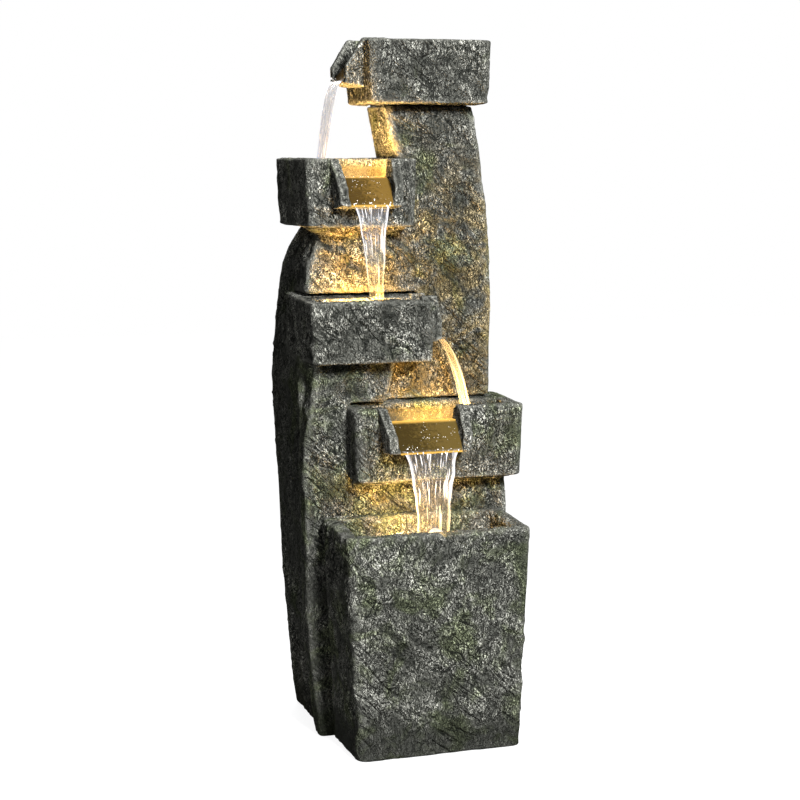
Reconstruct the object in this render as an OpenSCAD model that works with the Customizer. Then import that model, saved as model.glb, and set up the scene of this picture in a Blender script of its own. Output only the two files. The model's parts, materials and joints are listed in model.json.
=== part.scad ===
// Tiered garden fountain in cast stone-look resin.
// Water rises inside the column to the top bowl and spills down four chutes, bowl by bowl, into the basin.
// Origin: on the floor, under the middle of the footprint. X runs to the right, Y to the back, Z up.

/* [Footprint] */
// Half of the overall width
body_half_w = 158; // [152:1:166]
// Depth of the basin, front to back
basin_d = 130; // [124:1:150]
// Depth of the pier that stands behind the basin
pier_d = 30; // [26:1:40]
// Depth of the column behind the pier
column_d = 152; // [146:1:170]
// Thickness of the foot pads
pad_t = 1.5; // [1:0.5:4]

/* [Column] */
// Height of the column's top above the floor
column_h = 912; // [900:1:950]
// Height of the shoulder that carries the second bowl
shoulder_z = 738; // [725:1:745]
// How far the column's face leans back at the top
column_lean = 66; // [55:1:70]
// Wall of the column and of the pier
shell_wall = 8; // [6:0.5:10]
// Left face of the neck, to the right of the middle
neck_x = 11; // [2:1:14]
// How far the neck spreads to the left at its top
neck_flare = 16; // [10:1:20]

/* [Top bowl] */
// Width of the top bowl
top_w = 184; // [172:1:200]
// Depth of the top bowl
top_d = 128; // [120:1:132]
// Height of the top bowl
top_h = 89.5; // [84:0.5:100]
// How far it hangs out to the left of the neck
top_overhang = 35; // [25:1:40]

/* [Second bowl] */
// Width of the second bowl
second_w = 161; // [150:1:165]
// Depth of the second bowl
second_d = 171; // [160:1:176]
// Height of the second bowl
second_h = 93; // [86:1:100]
// Step from the column's back to the bowl's back
second_step = 10; // [4:1:20]

/* [Third bowl] */
// Height of its seat on the pier
third_z = 553; // [545:1:560]
// Width of the third bowl
third_w = 181; // [170:1:188]
// Height of the third bowl
third_h = 89; // [84:1:95]
// How far it stands out in front of the pier
third_reach = 40; // [38:1:50]
// How far it is let into the column
third_let_in = 76; // [50:1:80]

/* [Fourth bowl] */
// Height of its seat on the pier
fourth_z = 378; // [368:1:384]
// Width of the fourth bowl
fourth_w = 251; // [240:1:258]
// Height of the fourth bowl
fourth_h = 109; // [102:1:114]
// How far it stands out in front of the pier
fourth_reach = 45; // [40:1:50]
// How far it is let into the column
fourth_let_in = 43; // [30:1:50]

/* [Bowl walls] */
// Wall of every bowl
bowl_wall = 16; // [13:1:18]
// Floor of every bowl
bowl_floor = 12; // [10:1:16]
// Radius of a bowl's upright corners
bowl_corner = 10; // [9:1:15]

/* [Basin] */
// Height of the basin's rim above the floor
basin_h = 325; // [312:1:340]
// Half of its width at the rim
basin_half_top = 135; // [128:1:138]
// Half of its width at the floor
basin_half_foot = 120; // [116:1:125]
// Wall of the basin
basin_wall = 18; // [15:1:20]
// Floor of the basin
basin_floor = 15; // [12:1:20]
// Radius of the basin's upright corners
basin_corner = 12; // [10:1:18]

/* [Chutes] */
// Thickness of a chute's cheek
cheek_t = 12; // [8:0.5:13]
// Depth of the spill edge below the rim
weir_drop = 24; // [18:1:28]
// Depth of the lip below the rim
lip_drop = 62; // [56:1:66]
// How far the top chute stands out
top_spill = 31; // [24:1:36]
// How far the second chute stands out
second_spill = 36; // [28:1:40]
// How far the fourth chute stands out
fourth_spill = 40; // [30:1:44]
// How far the third chute stands out
third_spill = 14; // [10:1:18]

/* [Water line] */
// Outside radius of the riser tubes
tube_r = 9; // [8.5:0.1:10]
// Wall of the riser tubes
tube_wall = 2; // [1.5:0.1:2.4]
// Radius of the elbows on their centre line
elbow_bend = 16; // [14:1:18]
// How far below the basin's rim the cross tube passes to the column
cross_drop = 33; // [28:1:40]

/* [Pump] */
// Length of the motor block
motor_l = 44; // [40:1:48]
// Width of the motor block
motor_w = 44; // [42:1:48]
// Radius of the rotor magnet
magnet_r = 9.5; // [8:0.1:10]
// Radius of the impeller
impeller_r = 15; // [12:0.5:15.5]

/* [Access door] */
// Width of the door
door_w = 126; // [110:1:140]
// Height of the door
door_h = 186; // [160:1:194]
// Thickness of the door
door_t = 4; // [3.5:0.5:5]
// Height of the door's lower edge above the floor
door_z = 62; // [58:1:68]

/* [Hidden] */
// Clearances: of a close fit, of a running fit, and round a tube or a lead that passes a wall
fit = 0.3;
running = 0.05;
hole_gap = 2;
// Overrun of every cut, and the plates that a hull spans
cut = 2;
slab_t = 1;

// Door rebate and screws; what stands proud of the column's back
rebate_d = 3;
door_lap = 11;
door_frame_t = 8;
screw_r = 2;
screw_l = 13;
screw_head_r = 4.5;
screw_head_t = 3;
screw_inset = 5.5;
pull_r = 12;
pull_d = 2;
rear_proud = door_t - rebate_d + screw_head_t;

// Depth stack, front to back
half_d = (basin_d + pier_d + column_d + rear_proud) / 2;
front_y = -half_d;
pier_y = front_y + basin_d;
column_y = pier_y + pier_d;
rear_y = column_y + column_d;
basin_back_y = pier_y - basin_wall;
column_front_in = column_y + shell_wall;
column_back_in = rear_y - shell_wall;

// Outlines, bottom to top: share of the half width, then share of the height
column_left_shares = [
    [0.76, 0], [0.797, 0.045], [0.823, 0.11], [0.854, 0.175], [0.899, 0.304], [0.93, 0.473],
    [0.956, 0.557], [0.973, 0.64], [0.99, 0.691], [0.968, 0.743], [0.946, 0.805], [0.913, 0.866],
    [0.873, 0.923], [0.804, 0.957], [0.68, 1]
];
column_right_shares = [
    [0.772, 0], [0.823, 0.13], [0.848, 0.329], [0.835, 0.439], [0.829, 0.609], [0.848, 0.691],
    [0.878, 0.785], [0.864, 0.866], [0.848, 0.929], [0.826, 0.981], [0.797, 1]
];
pier_left_shares = [
    [0.848, 0], [0.87, 0.033], [0.942, 0.21], [0.968, 0.318], [0.973, 0.477], [0.981, 0.61],
    [1, 0.689], [0.984, 0.792], [0.925, 0.895], [0.88, 1]
];
pier_right_shares = [[0.823, 0], [0.924, 0.53], [0.943, 0.88], [0.924, 1]];
// Right edge of the pier's tall part, at its waist and at its top
pier_waist_share = 0.23;
pier_top_share = 0.14;
// Height at which the column's face starts to lean back
lean_share = 0.68;

// Seats of the bowls
gasket_t = 3;
gasket_inset = 3;
third_left_gap = 2.5;
bowl_taper = 4;
pool_taper = 3;
pool_back_wall = 14;
top_at = [neck_x - neck_flare - top_overhang, rear_y - top_d, column_h + gasket_t];
top_size = [top_w, top_d, top_h];
second_at = [neck_x - fit - second_w, rear_y - second_step - second_d, shoulder_z];
second_size = [second_w, second_d, second_h];
third_at = [-body_half_w + third_left_gap, pier_y - third_reach, third_z];
third_size = [third_w, third_reach + pier_d + third_let_in, third_h];
fourth_at = [body_half_w - fourth_w, pier_y - fourth_reach, fourth_z];
fourth_size = [fourth_w, fourth_reach + pier_d + fourth_let_in, fourth_h];
second_top = shoulder_z + second_h;

// Corbels under the second and fourth bowls
corbel_drop = 17;
corbel_inset = 7;
low_corbel_drop = 9;

// Chutes: width between the cheeks at the rim and at the lip
top_mouth = [64, 55];
second_mouth = [77, 64];
third_mouth = [40, 33];
fourth_mouth = [108, 94];
cheek_flat = 5;
bend_share = 0.6;
lip_t = 3;
lip_proud = 1;
weir_t = 6;
heel_drop = 5;
top_chute_shift = 5;
second_chute_shift = 2.5;
third_chute_shift = 1;
fourth_chute_shift = -29;

// Pump: its axis is along X, the intake looks to the left and the outlet up
motor_below = 22;
motor_above = 24;
motor_h = motor_below + motor_above;
motor_corner = 5;
rotor_gap = 0.7;
rotor_floor = 6;
volute_l = 22;
volute_face = 4;
volute_gap = 1.5;
volute_wall = 2;
collar_wall = 2;
eye_r = 9;
hub_r = 4.5;
spoke_w = 2;
spoke_count = 3;
strainer_l = 16;
strainer_t = 2;
slot_w = 2.4;
slot_pitch = 6;
slot_count = 5;
slot_margin = 8;
nipple_h = 15;
nipple_wall = 1.8;
shaft_r = 1.5;
bush_r = 3;
bush_l = 4;
magnet_play = 2;
rotor_neck_r = 6;
impeller_back_gap = 1;
impeller_plate = 2;
vane_h = 7;
vane_t = 1.6;
vane_count = 6;
dial_r = 12;
dial_t = 3;
dial_spindle_r = 3;
dial_snap_r = 3.6;
dial_snap_t = 1;
dial_grip_w = 3;
dial_grip_h = 4;
window_r = 2.5;
window_at = 8;
cup_r = 9;
cup_neck_r = 4;
cup_h = 7;
cup_stem_r = 2;
cup_stem_h = 3;
cup_inset = 10;

// Riser: from the pump's collar up, back through the basin's wall, and up inside the column
nipple_r = tube_r - tube_wall - fit;
elbow_socket = 10;
elbow_wall = 2;
elbow_wall_gap = 3;
riser_wall_gap = 4;
riser_back = 36;
riser_x = neck_x + shell_wall + tube_r + riser_wall_gap;
riser_y = column_back_in - riser_back;
pump_y = basin_back_y - elbow_wall_gap - elbow_socket - elbow_bend;
pump_z = pad_t + basin_floor + cup_h + motor_below;
volute_right = riser_x + (volute_l - volute_face) / 2;
pump_right = volute_right + motor_l;
volute_left = volute_right - volute_l;
strainer_left = volute_left - strainer_l;
riser_low_z = pump_z + motor_above + fit;
cross_z = basin_h - cross_drop;
low_elbow_z = cross_z - elbow_bend;
high_elbow_z = cross_z + elbow_bend;
grommet_t = 2;
grommet_lip = 3;
grommet_lip_t = 2;

// Inlet fitting in the top bowl
inlet_bore_r = 5;
inlet_stem_r = 8.5;
inlet_flange_r = 15;
inlet_flange_t = 4;
inlet_spout_r = 8;
inlet_spout_h = 12;
inlet_thread_end = 2;
inlet_barb = 18;
nut_r = 14;
nut_t = 6;
inlet_low_z = column_h - shell_wall - nut_t - inlet_thread_end;
riser_top_z = inlet_low_z - fit;

// Riser clips
clip_t = 2.5;
clip_h = 12;
clip_arm_w = 8;
clip_z_shares = [0.5, 0.76];

// Dowels of the top bowl
dowel_r = 4;
dowel_l = 24;
dowel_inset = 20;
dowel_boss_r = 8;
dowel_gap = 8;
dowel_low_z = column_h - dowel_l / 2;
top_right_share = column_right_shares[len(column_right_shares) - 1][0];
dowel_places = [
    [riser_x + nut_r + dowel_gap + dowel_boss_r, rear_y - dowel_inset],
    [body_half_w * top_right_share - dowel_inset, column_y + column_lean + dowel_inset]
];

// Lights
light_r = 12;
light_h = 10;
lens_r = 10;
lens_h = 3;
lens_dome = 2;
lead_r = 2;
lead_entry = 3;
lead_rise = 4;
lead_bend = 12;
lead_turn = 40;
lead_count = 4;
bend_steps = 4;
lead_sides = 8;
third_light_share = 0.45;
fourth_light_share = 0.6;
seal_r = 5;
seal_proud = 1.5;
shelf_d = 30;
shelf_t = 8;
light_gap = 2;
pool_light_y = column_y - pool_back_wall - light_r - light_gap;
second_light_at = [
    neck_x - bowl_wall - light_r - pool_taper - light_gap,
    rear_y - second_step - bowl_wall - 2 * light_r,
    shoulder_z + bowl_floor
];
third_light_at = [third_at[0] + third_w * third_light_share, pool_light_y, third_z + bowl_floor];
fourth_light_at = [fourth_at[0] + fourth_w * fourth_light_share, pool_light_y, fourth_z + bowl_floor];
basin_light_drop = 63;
basin_light_at = [-shelf_d, basin_back_y - shelf_d / 2, basin_h - basin_light_drop];

// Lead block on the column's back wall, beside the door
block_w = 70;
block_d = 18;
block_h = 26;
block_gap = 9;
block_x = block_gap + shell_wall + block_w / 2 - body_half_w * column_left_shares[4][0];
block_rise = 20;
block_z = door_z + door_h + block_rise;
block_top = block_z + block_h;
socket_pitch = 16;
socket_depth = 6;
plug_r = 4;
plug_h = 8;
lead_row_y = column_back_in - block_d / 2;

// Bolts that join basin, pier and column
bolt_r = 3;
bolt_gap = 0.3;
bolt_head_r = 6;
bolt_head_t = 4;
bolt_tail = 2;
bolt_nut_r = 6.5;
bolt_nut_t = 5;
boss_r = 10;
washer_r = 8;
washer_t = 1.5;
bolt_x = 86;
bolt_low_z = 92;
bolt_high_z = 240;
bolt_places = [for (x = [-bolt_x, bolt_x], z = [bolt_low_z, bolt_high_z]) [x, z]];
pier_bolt_at = [-85, (fourth_z + fourth_h + third_z) / 2];

// Drain and cord outlet
drain_rise = 22;
drain_z = pad_t + basin_floor + drain_rise;
drain_r = 7;
drain_boss_r = 14;
drain_boss_proud = 4;
drain_flange_r = 11;
drain_flange_t = 3;
drain_tab_w = 4;
drain_tab_h = 14;
drain_tab_l = 7;
outlet_inset = 28;
outlet_z = 34;
outlet_bore_r = 4;
outlet_body_r = 7;
outlet_lip_r = 10;
outlet_lip_t = 2;

// Foot pads and the flange that they stand under
pad_r = 11;
pad_inset = 20;
base_flange = 36;
column_foot_share = column_left_shares[0][0];
outlet_x = body_half_w * column_foot_share - outlet_inset;

$fn = 48;

// Points of an outline in shares, turned into lengths
function outline(shares, side, z0, z1) =
    [for (p = shares) [side * p[0] * body_half_w, z0 + p[1] * (z1 - z0)]];
function reversed(list) = [for (i = [len(list) - 1:-1:0]) list[i]];
function direction(a, b) = (b - a) / norm(b - a);
function cross2(u, v) = u[0] * v[1] - u[1] * v[0];
function crossing(p, u, q, v) = p + u * cross2(q - p, v) / cross2(u, v);
function left_of(u) = [-u[1], u[0]];
// A closed outline, counter-clockwise, moved inwards by d along every edge
function inset(points, d) = let (n = len(points)) [
    for (i = [0:n - 1])
        let (
            here = points[i],
            u = direction(points[(i + n - 1) % n], here),
            v = direction(here, points[(i + 1) % n])
        )
        abs(cross2(u, v)) < 0.001
            ? here + d * left_of(u)
            : crossing(here + d * left_of(u), u, here + d * left_of(v), v)
];

column_outline = concat(
    outline(column_right_shares, 1, pad_t, column_h),
    [[neck_x - neck_flare, column_h], [neck_x, second_top], [neck_x, shoulder_z]],
    reversed(outline(column_left_shares, -1, pad_t, shoulder_z))
);
lean_z = column_h * lean_share;
// The column's profile from the side, out to a back at that depth
function column_profile(back) = [
    [column_y, pad_t], [back, pad_t], [back, column_h],
    [column_y + column_lean, column_h], [column_y, lean_z]
];
pier_outline = concat(
    outline(pier_right_shares, 1, pad_t, fourth_z),
    [
        [-pier_waist_share * body_half_w, fourth_z],
        [-pier_waist_share * body_half_w, fourth_z + fourth_h],
        [-pier_top_share * body_half_w, third_z]
    ],
    reversed(outline(pier_left_shares, -1, pad_t, third_z))
);
shoulder_face_y = column_y + column_lean * (shoulder_z - lean_z) / (column_h - lean_z);

// An outline in X and Z, extruded from y0 to y1
module facing(points, y0, y1) {
    translate([0, y1, 0]) rotate([90, 0, 0]) linear_extrude(y1 - y0) polygon(points);
}

// A profile in Y and Z, extruded from x0 to x1
module sideways(points, x0, x1) {
    translate([x0, 0, 0]) rotate([90, 0, 90]) linear_extrude(x1 - x0) polygon(points);
}

// A rod along Y, and one along X
module rod_y(r, y0, y1) {
    translate([0, y1, 0]) rotate([90, 0, 0]) cylinder(r = r, h = y1 - y0);
}

module rod_x(r, x0, x1) {
    translate([x0, 0, 0]) rotate([0, 90, 0]) cylinder(r = r, h = x1 - x0);
}

// A block with round upright corners, drawn in at the foot by taper at its left and right
module block(size, corner, taper) {
    hull() for (top = [0, 1], i = [0, 1], j = [0, 1]) {
        low = corner + (1 - top) * taper;
        x = low + i * (size[0] - 2 * low);
        y = corner + j * (size[1] - 2 * corner);
        translate([x, y, top * (size[2] - slab_t)]) cylinder(r = corner, h = slab_t, $fn = 32);
    }
}

// The room that a bowl fills, grown by gap all round but at its seat
module bowl_space(at, size, gap) {
    translate([at[0] - gap, at[1] - gap, at[2]])
        block([size[0] + 2 * gap, size[1] + 2 * gap, size[2] + gap], bowl_corner, bowl_taper);
}

// The hollow of a bowl
module pool(at, size, pool_d) {
    translate([at[0] + bowl_wall, at[1] + bowl_wall, at[2] + bowl_floor])
        block([size[0] - 2 * bowl_wall, pool_d, size[2] - bowl_floor + cut], bowl_corner / 2, pool_taper);
}

module column() {
    color("dimgray") difference() {
        union() {
            intersection() {
                facing(column_outline, column_y, rear_y);
                sideways(column_profile(rear_y), -body_half_w, body_half_w);
            }
            shoulder_corbel();
        }
        column_hollow();
        column_foot_opening();
        bowl_space(third_at, third_size, fit);
        bowl_space(fourth_at, fourth_size, fit);
        for (at = concat(bolt_places, [pier_bolt_at]))
            translate([at[0], 0, at[1]]) rod_y(bolt_r + bolt_gap, column_y - cut, column_front_in + cut);
        translate([riser_x, 0, cross_z]) rod_y(tube_r + hole_gap, column_y - cut, column_front_in + cut);
        translate([basin_light_at[0], 0, basin_light_at[2] + lead_rise])
            rod_y(lead_r + hole_gap, column_y - cut, column_front_in + cut);
        translate([riser_x, riser_y, column_h - shell_wall - cut])
            cylinder(r = inlet_stem_r + fit, h = shell_wall + 2 * cut);
        for (at = dowel_places)
            translate([at[0], at[1], dowel_low_z]) cylinder(r = dowel_r + running, h = dowel_l);
        translate([second_light_at[0], second_light_at[1], shoulder_z - shell_wall - cut])
            cylinder(r = seal_r + running, h = shell_wall + 2 * cut);
    }
}

// The column is open at the back, where its panel goes in
module column_hollow() {
    back = rear_y + cut;
    difference() {
        intersection() {
            facing(inset(column_outline, shell_wall), column_front_in, back);
            sideways(inset(column_profile(back + shell_wall), shell_wall), -body_half_w, body_half_w);
        }
        for (at = dowel_places)
            translate([at[0], at[1], dowel_low_z - shell_wall / 2]) cylinder(r = dowel_boss_r, h = dowel_l);
    }
}

module column_foot_opening() {
    half_w = body_half_w * column_foot_share - base_flange;
    translate([-half_w, column_y + base_flange, 0])
        cube([2 * half_w, column_d - 2 * base_flange, pad_t + shell_wall + cut]);
}

module back_panel() {
    color("gray") difference() {
        union() {
            facing(inset(column_outline, shell_wall + fit), column_back_in, rear_y);
            door_frame();
        }
        door_opening();
        translate([outlet_x, 0, outlet_z]) rod_y(outlet_body_r + running, column_back_in - cut, rear_y + cut);
    }
}

// Thicker wall round the access opening
module door_frame() {
    translate([-door_w / 2, column_back_in - door_frame_t, door_z])
        cube([door_w, door_frame_t + shell_wall / 2, door_h]);
}

module door_opening() {
    translate([-door_w / 2 - fit, rear_y - rebate_d, door_z - fit])
        cube([door_w + 2 * fit, rebate_d + cut, door_h + 2 * fit]);
    translate([-door_w / 2 + door_lap, column_back_in - door_frame_t - cut, door_z + door_lap])
        cube([door_w - 2 * door_lap, door_frame_t + shell_wall + 2 * cut, door_h - 2 * door_lap]);
    at_door_screws() rod_y(screw_r + running, column_back_in - door_frame_t - cut, rear_y);
}

module at_door_screws() {
    for (x = [-1, 1], z = [door_z + screw_inset, door_z + door_h - screw_inset])
        translate([x * (door_w / 2 - screw_inset), 0, z]) children();
}

module shoulder_corbel() {
    hull() {
        translate([second_at[0] + bowl_corner, second_at[1] + corbel_inset, shoulder_z - slab_t])
            cube([second_w - 2 * bowl_corner, shoulder_face_y - second_at[1], slab_t]);
        translate([second_at[0] + second_w / 4, shoulder_face_y, shoulder_z - corbel_drop])
            cube([second_w / 2, shell_wall / 2, slab_t]);
    }
}

module pier() {
    color("dimgray") difference() {
        union() {
            difference() {
                facing(pier_outline, pier_y, column_y);
                facing(inset(pier_outline, shell_wall), pier_y + shell_wall, column_y + cut);
            }
            for (at = concat(bolt_places, [pier_bolt_at]))
                translate([at[0], 0, at[1]]) rod_y(boss_r, pier_y + shell_wall / 2, column_y);
            pier_corbel();
        }
        bowl_space(fourth_at, fourth_size, fit);
        for (at = bolt_places)
            translate([at[0], 0, at[1]]) rod_y(bolt_r + bolt_gap, pier_y - cut, column_y + cut);
        translate([pier_bolt_at[0], 0, pier_bolt_at[1]])
            rod_y(bolt_r + bolt_gap, pier_y + shell_wall, column_y + cut);
        translate([riser_x, 0, cross_z]) rod_y(tube_r + hole_gap, pier_y - cut, column_y + cut);
        translate([basin_light_at[0], 0, basin_light_at[2] + lead_rise])
            rod_y(lead_r + hole_gap, pier_y - cut, column_y + cut);
    }
}

module pier_corbel() {
    hull() {
        translate([fourth_at[0] + bowl_corner, fourth_at[1] + corbel_inset, fourth_z - slab_t])
            cube([fourth_w - 2 * bowl_corner - corbel_inset, fourth_reach, slab_t]);
        translate([fourth_at[0] + bowl_corner, pier_y, fourth_z - low_corbel_drop])
            cube([fourth_w - 2 * bowl_corner - corbel_inset, shell_wall / 2, slab_t]);
    }
}

module basin() {
    flare = basin_half_top - basin_half_foot;
    color("dimgray") difference() {
        union() {
            difference() {
                translate([-basin_half_top, front_y, pad_t])
                    block([2 * basin_half_top, basin_d, basin_h - pad_t], basin_corner, flare);
                translate([-basin_half_top + basin_wall, front_y + basin_wall, pad_t + basin_floor])
                    block(
                        [2 * (basin_half_top - basin_wall), basin_d - 2 * basin_wall, basin_h],
                        basin_corner / 2, flare
                    );
            }
            // Shelf for the light
            translate([basin_light_at[0] - shelf_d / 2, basin_back_y - shelf_d, basin_light_at[2] - shelf_t])
                cube([shelf_d, shelf_d + basin_wall / 2, shelf_t]);
            // Boss for the drain plug
            translate([0, pump_y, drain_z])
                rod_x(drain_boss_r, basin_half_foot - basin_wall / 2, basin_half_foot + drain_boss_proud);
        }
        translate([0, pump_y, drain_z])
            rod_x(drain_r, basin_half_foot - 2 * basin_wall, basin_half_foot + drain_boss_proud + cut);
        for (at = bolt_places)
            translate([at[0], 0, at[1]]) rod_y(bolt_r + bolt_gap, basin_back_y - cut, pier_y + cut);
        translate([riser_x, 0, cross_z])
            rod_y(tube_r + grommet_t + running, basin_back_y - cut, pier_y + cut);
        translate([basin_light_at[0], 0, basin_light_at[2] + lead_rise])
            rod_y(seal_r + running, basin_back_y - cut, pier_y + cut);
    }
}

module top_bowl() {
    color("dimgray") difference() {
        bowl_space(top_at, top_size, 0);
        pool(top_at, top_size, top_d - 2 * bowl_wall);
        place_top_chute() chute_notch(top_mouth);
        translate([riser_x, riser_y, top_at[2] - cut])
            cylinder(r = inlet_stem_r + fit, h = bowl_floor + 2 * cut);
        for (at = dowel_places)
            translate([at[0], at[1], dowel_low_z]) cylinder(r = dowel_r + running, h = dowel_l + fit);
    }
}

module second_bowl() {
    color("dimgray") difference() {
        bowl_space(second_at, second_size, 0);
        pool(second_at, second_size, second_d - 2 * bowl_wall);
        place_second_chute() chute_notch(second_mouth);
        translate([second_light_at[0], second_light_at[1], shoulder_z - cut])
            cylinder(r = seal_r + running, h = bowl_floor + 2 * cut);
    }
}

// A bowl that is let into the column: a pool in front and a hollow heel behind
module let_in_bowl(at, size, light_at) {
    heel_wall = bowl_wall / 2 + bowl_taper;
    difference() {
        bowl_space(at, size, 0);
        pool(at, size, column_y - pool_back_wall - at[1] - bowl_wall);
        // The heel's hollow is open at the back, towards the column's inside
        translate([at[0] + heel_wall, column_y, at[2] + bowl_floor])
            cube([size[0] - 2 * heel_wall, size[1], size[2] - 2 * bowl_floor]);
        translate([light_at[0], 0, light_at[2] + lead_rise])
            rod_y(seal_r + running, column_y - pool_back_wall - cut, column_y + cut);
    }
}

module third_bowl() {
    color("dimgray") difference() {
        let_in_bowl(third_at, third_size, third_light_at);
        place_third_chute() chute_notch(third_mouth);
    }
}

module fourth_bowl() {
    color("dimgray") difference() {
        let_in_bowl(fourth_at, fourth_size, fourth_light_at);
        place_fourth_chute() chute_notch(fourth_mouth);
    }
}

// Chutes are drawn looking out along -Y, with the origin where the rim meets the bowl's outer face
function half_mouth(mouth, z) = (mouth[0] + (mouth[0] - mouth[1]) * z / lip_drop) / 2;

// The funnel between the cheeks, wider by extra on each side
module funnel(mouth, extra, y0, y1) {
    low = -lip_drop - heel_drop - cut;
    facing(
        [
            [-half_mouth(mouth, low) - extra, low], [half_mouth(mouth, low) + extra, low],
            [half_mouth(mouth, cut) + extra, cut], [-half_mouth(mouth, cut) - extra, cut]
        ],
        y0, y1
    );
}

// foot_y is where the lower back edge lies: a tapered bowl's face falls back there
module chute(mouth, reach, foot_y) {
    far = mouth[0];
    foot = [[foot_y, -lip_drop - heel_drop], [0, -weir_drop - weir_t], [bowl_wall, -weir_drop - weir_t]];
    cheek = concat(
        [[bowl_wall, 0], [-cheek_flat, 0], [-reach, -bend_share * lip_drop], [-reach, -lip_drop]],
        foot
    );
    ramp = concat(
        [
            [bowl_wall, -weir_drop], [0, -weir_drop],
            [-reach - lip_proud, lip_t - lip_drop], [-reach - lip_proud, -lip_drop]
        ],
        foot
    );
    color("darkslategray") union() {
        intersection() {
            difference() {
                funnel(mouth, cheek_t, -far, bowl_wall);
                funnel(mouth, 0, -far - cut, bowl_wall + cut);
            }
            sideways(cheek, -far, far);
        }
        intersection() {
            funnel(mouth, cheek_t, -far, bowl_wall);
            sideways(ramp, -far, far);
        }
    }
}

// The notch in a bowl's wall that a chute sits in
module chute_notch(mouth) {
    low = weir_drop + weir_t;
    intersection() {
        funnel(mouth, cheek_t + fit, -cut, bowl_wall + cut);
        translate([-mouth[0], -cut, -low]) cube([2 * mouth[0], bowl_wall + 2 * cut, low + cut]);
    }
}

module place_top_chute() {
    y = top_at[1] + top_d / 2 + top_chute_shift;
    translate([top_at[0], y, top_at[2] + top_h]) rotate([0, 0, -90]) children();
}

module place_second_chute() {
    translate([second_at[0] + second_w / 2 + second_chute_shift, second_at[1], second_top]) children();
}

module place_third_chute() {
    y = third_at[1] + third_mouth[0] / 2 + cheek_t + third_chute_shift;
    translate([third_at[0] + third_w, y, third_z + third_h]) rotate([0, 0, 90]) children();
}

module place_fourth_chute() {
    x = fourth_at[0] + fourth_w / 2 + fourth_chute_shift;
    translate([x, fourth_at[1], fourth_z + fourth_h]) children();
}

function face_fall(h) = bowl_taper * (lip_drop + heel_drop) / h - fit;

module top_chute() {
    place_top_chute() chute(top_mouth, top_spill, face_fall(top_h));
}

module second_chute() {
    place_second_chute() chute(second_mouth, second_spill, 0);
}

module third_chute() {
    place_third_chute() chute(third_mouth, third_spill, face_fall(third_h));
}

module fourth_chute() {
    place_fourth_chute() chute(fourth_mouth, fourth_spill, 0);
}

// The dark seam between the column and the top bowl
module top_gasket() {
    left = neck_x - neck_flare + gasket_inset;
    right = body_half_w * top_right_share - gasket_inset;
    front = column_y + column_lean + gasket_inset;
    color("black") difference() {
        translate([left, front, column_h])
            cube([right - left, rear_y - gasket_inset - front, gasket_t]);
        translate([riser_x, riser_y, column_h - cut])
            cylinder(r = inlet_stem_r + fit, h = gasket_t + 2 * cut);
        for (at = dowel_places)
            translate([at[0], at[1], column_h - cut])
                cylinder(r = dowel_r + running, h = gasket_t + 2 * cut);
    }
}

module top_dowels() {
    color("lightgray") for (at = dowel_places)
        translate([at[0], at[1], dowel_low_z]) cylinder(r = dowel_r, h = dowel_l);
}

module body_bolts() {
    head_y = basin_back_y - washer_t;
    color("silver") for (at = bolt_places) translate([at[0], 0, at[1]]) {
        rod_y(bolt_head_r, head_y - bolt_head_t, head_y);
        rod_y(bolt_r, head_y - bolt_head_t / 2, column_front_in + bolt_nut_t + bolt_tail);
    }
}

module sealing_washers() {
    color("black") for (at = bolt_places) translate([at[0], 0, at[1]]) difference() {
        rod_y(washer_r, basin_back_y - washer_t, basin_back_y);
        rod_y(bolt_r + running, basin_back_y - washer_t - cut, basin_back_y + cut);
    }
}

module body_nuts() {
    color("silver") for (at = bolt_places) translate([at[0], 0, at[1]]) difference() {
        translate([0, column_front_in + bolt_nut_t, 0]) rotate([90, 0, 0])
            cylinder(r = bolt_nut_r, h = bolt_nut_t, $fn = 6);
        rod_y(bolt_r + running, column_front_in - cut, column_front_in + bolt_nut_t + cut);
    }
}

module pier_bolt() {
    color("silver") translate([pier_bolt_at[0], 0, pier_bolt_at[1]]) {
        rod_y(bolt_head_r, column_front_in, column_front_in + bolt_head_t);
        rod_y(bolt_r, pier_y + shell_wall, column_front_in + bolt_head_t / 2);
    }
}

module foot_pads() {
    column_half = body_half_w * column_foot_share - pad_inset;
    basin_half = basin_half_foot - pad_inset;
    color("black") {
        for (x = [-column_half, column_half], y = [column_y + pad_inset, rear_y - pad_inset])
            translate([x, y, 0]) cylinder(r = pad_r, h = pad_t);
        for (x = [-basin_half, basin_half])
            translate([x, front_y + pad_inset, 0]) cylinder(r = pad_r, h = pad_t);
    }
}

module access_door() {
    outer_y = rear_y - rebate_d + door_t;
    color("gray") difference() {
        translate([-door_w / 2, rear_y - rebate_d, door_z]) cube([door_w, door_t, door_h]);
        at_door_screws() rod_y(screw_r + fit, rear_y - rebate_d - cut, outer_y + cut);
        translate([0, 0, door_z + door_h - door_lap - pull_r]) rod_y(pull_r, outer_y - pull_d, outer_y + cut);
    }
}

module door_screws() {
    outer_y = rear_y - rebate_d + door_t;
    color("silver") at_door_screws() {
        rod_y(screw_head_r, outer_y, outer_y + screw_head_t);
        rod_y(screw_r, outer_y - screw_l, outer_y + screw_head_t / 2);
    }
}

module cord_grommet() {
    color("black") translate([outlet_x, 0, outlet_z]) difference() {
        union() {
            rod_y(outlet_body_r, column_back_in, rear_y + outlet_lip_t);
            rod_y(outlet_lip_r, rear_y, rear_y + outlet_lip_t);
        }
        rod_y(outlet_bore_r, column_back_in - cut, rear_y + outlet_lip_t + cut);
    }
}

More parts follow.
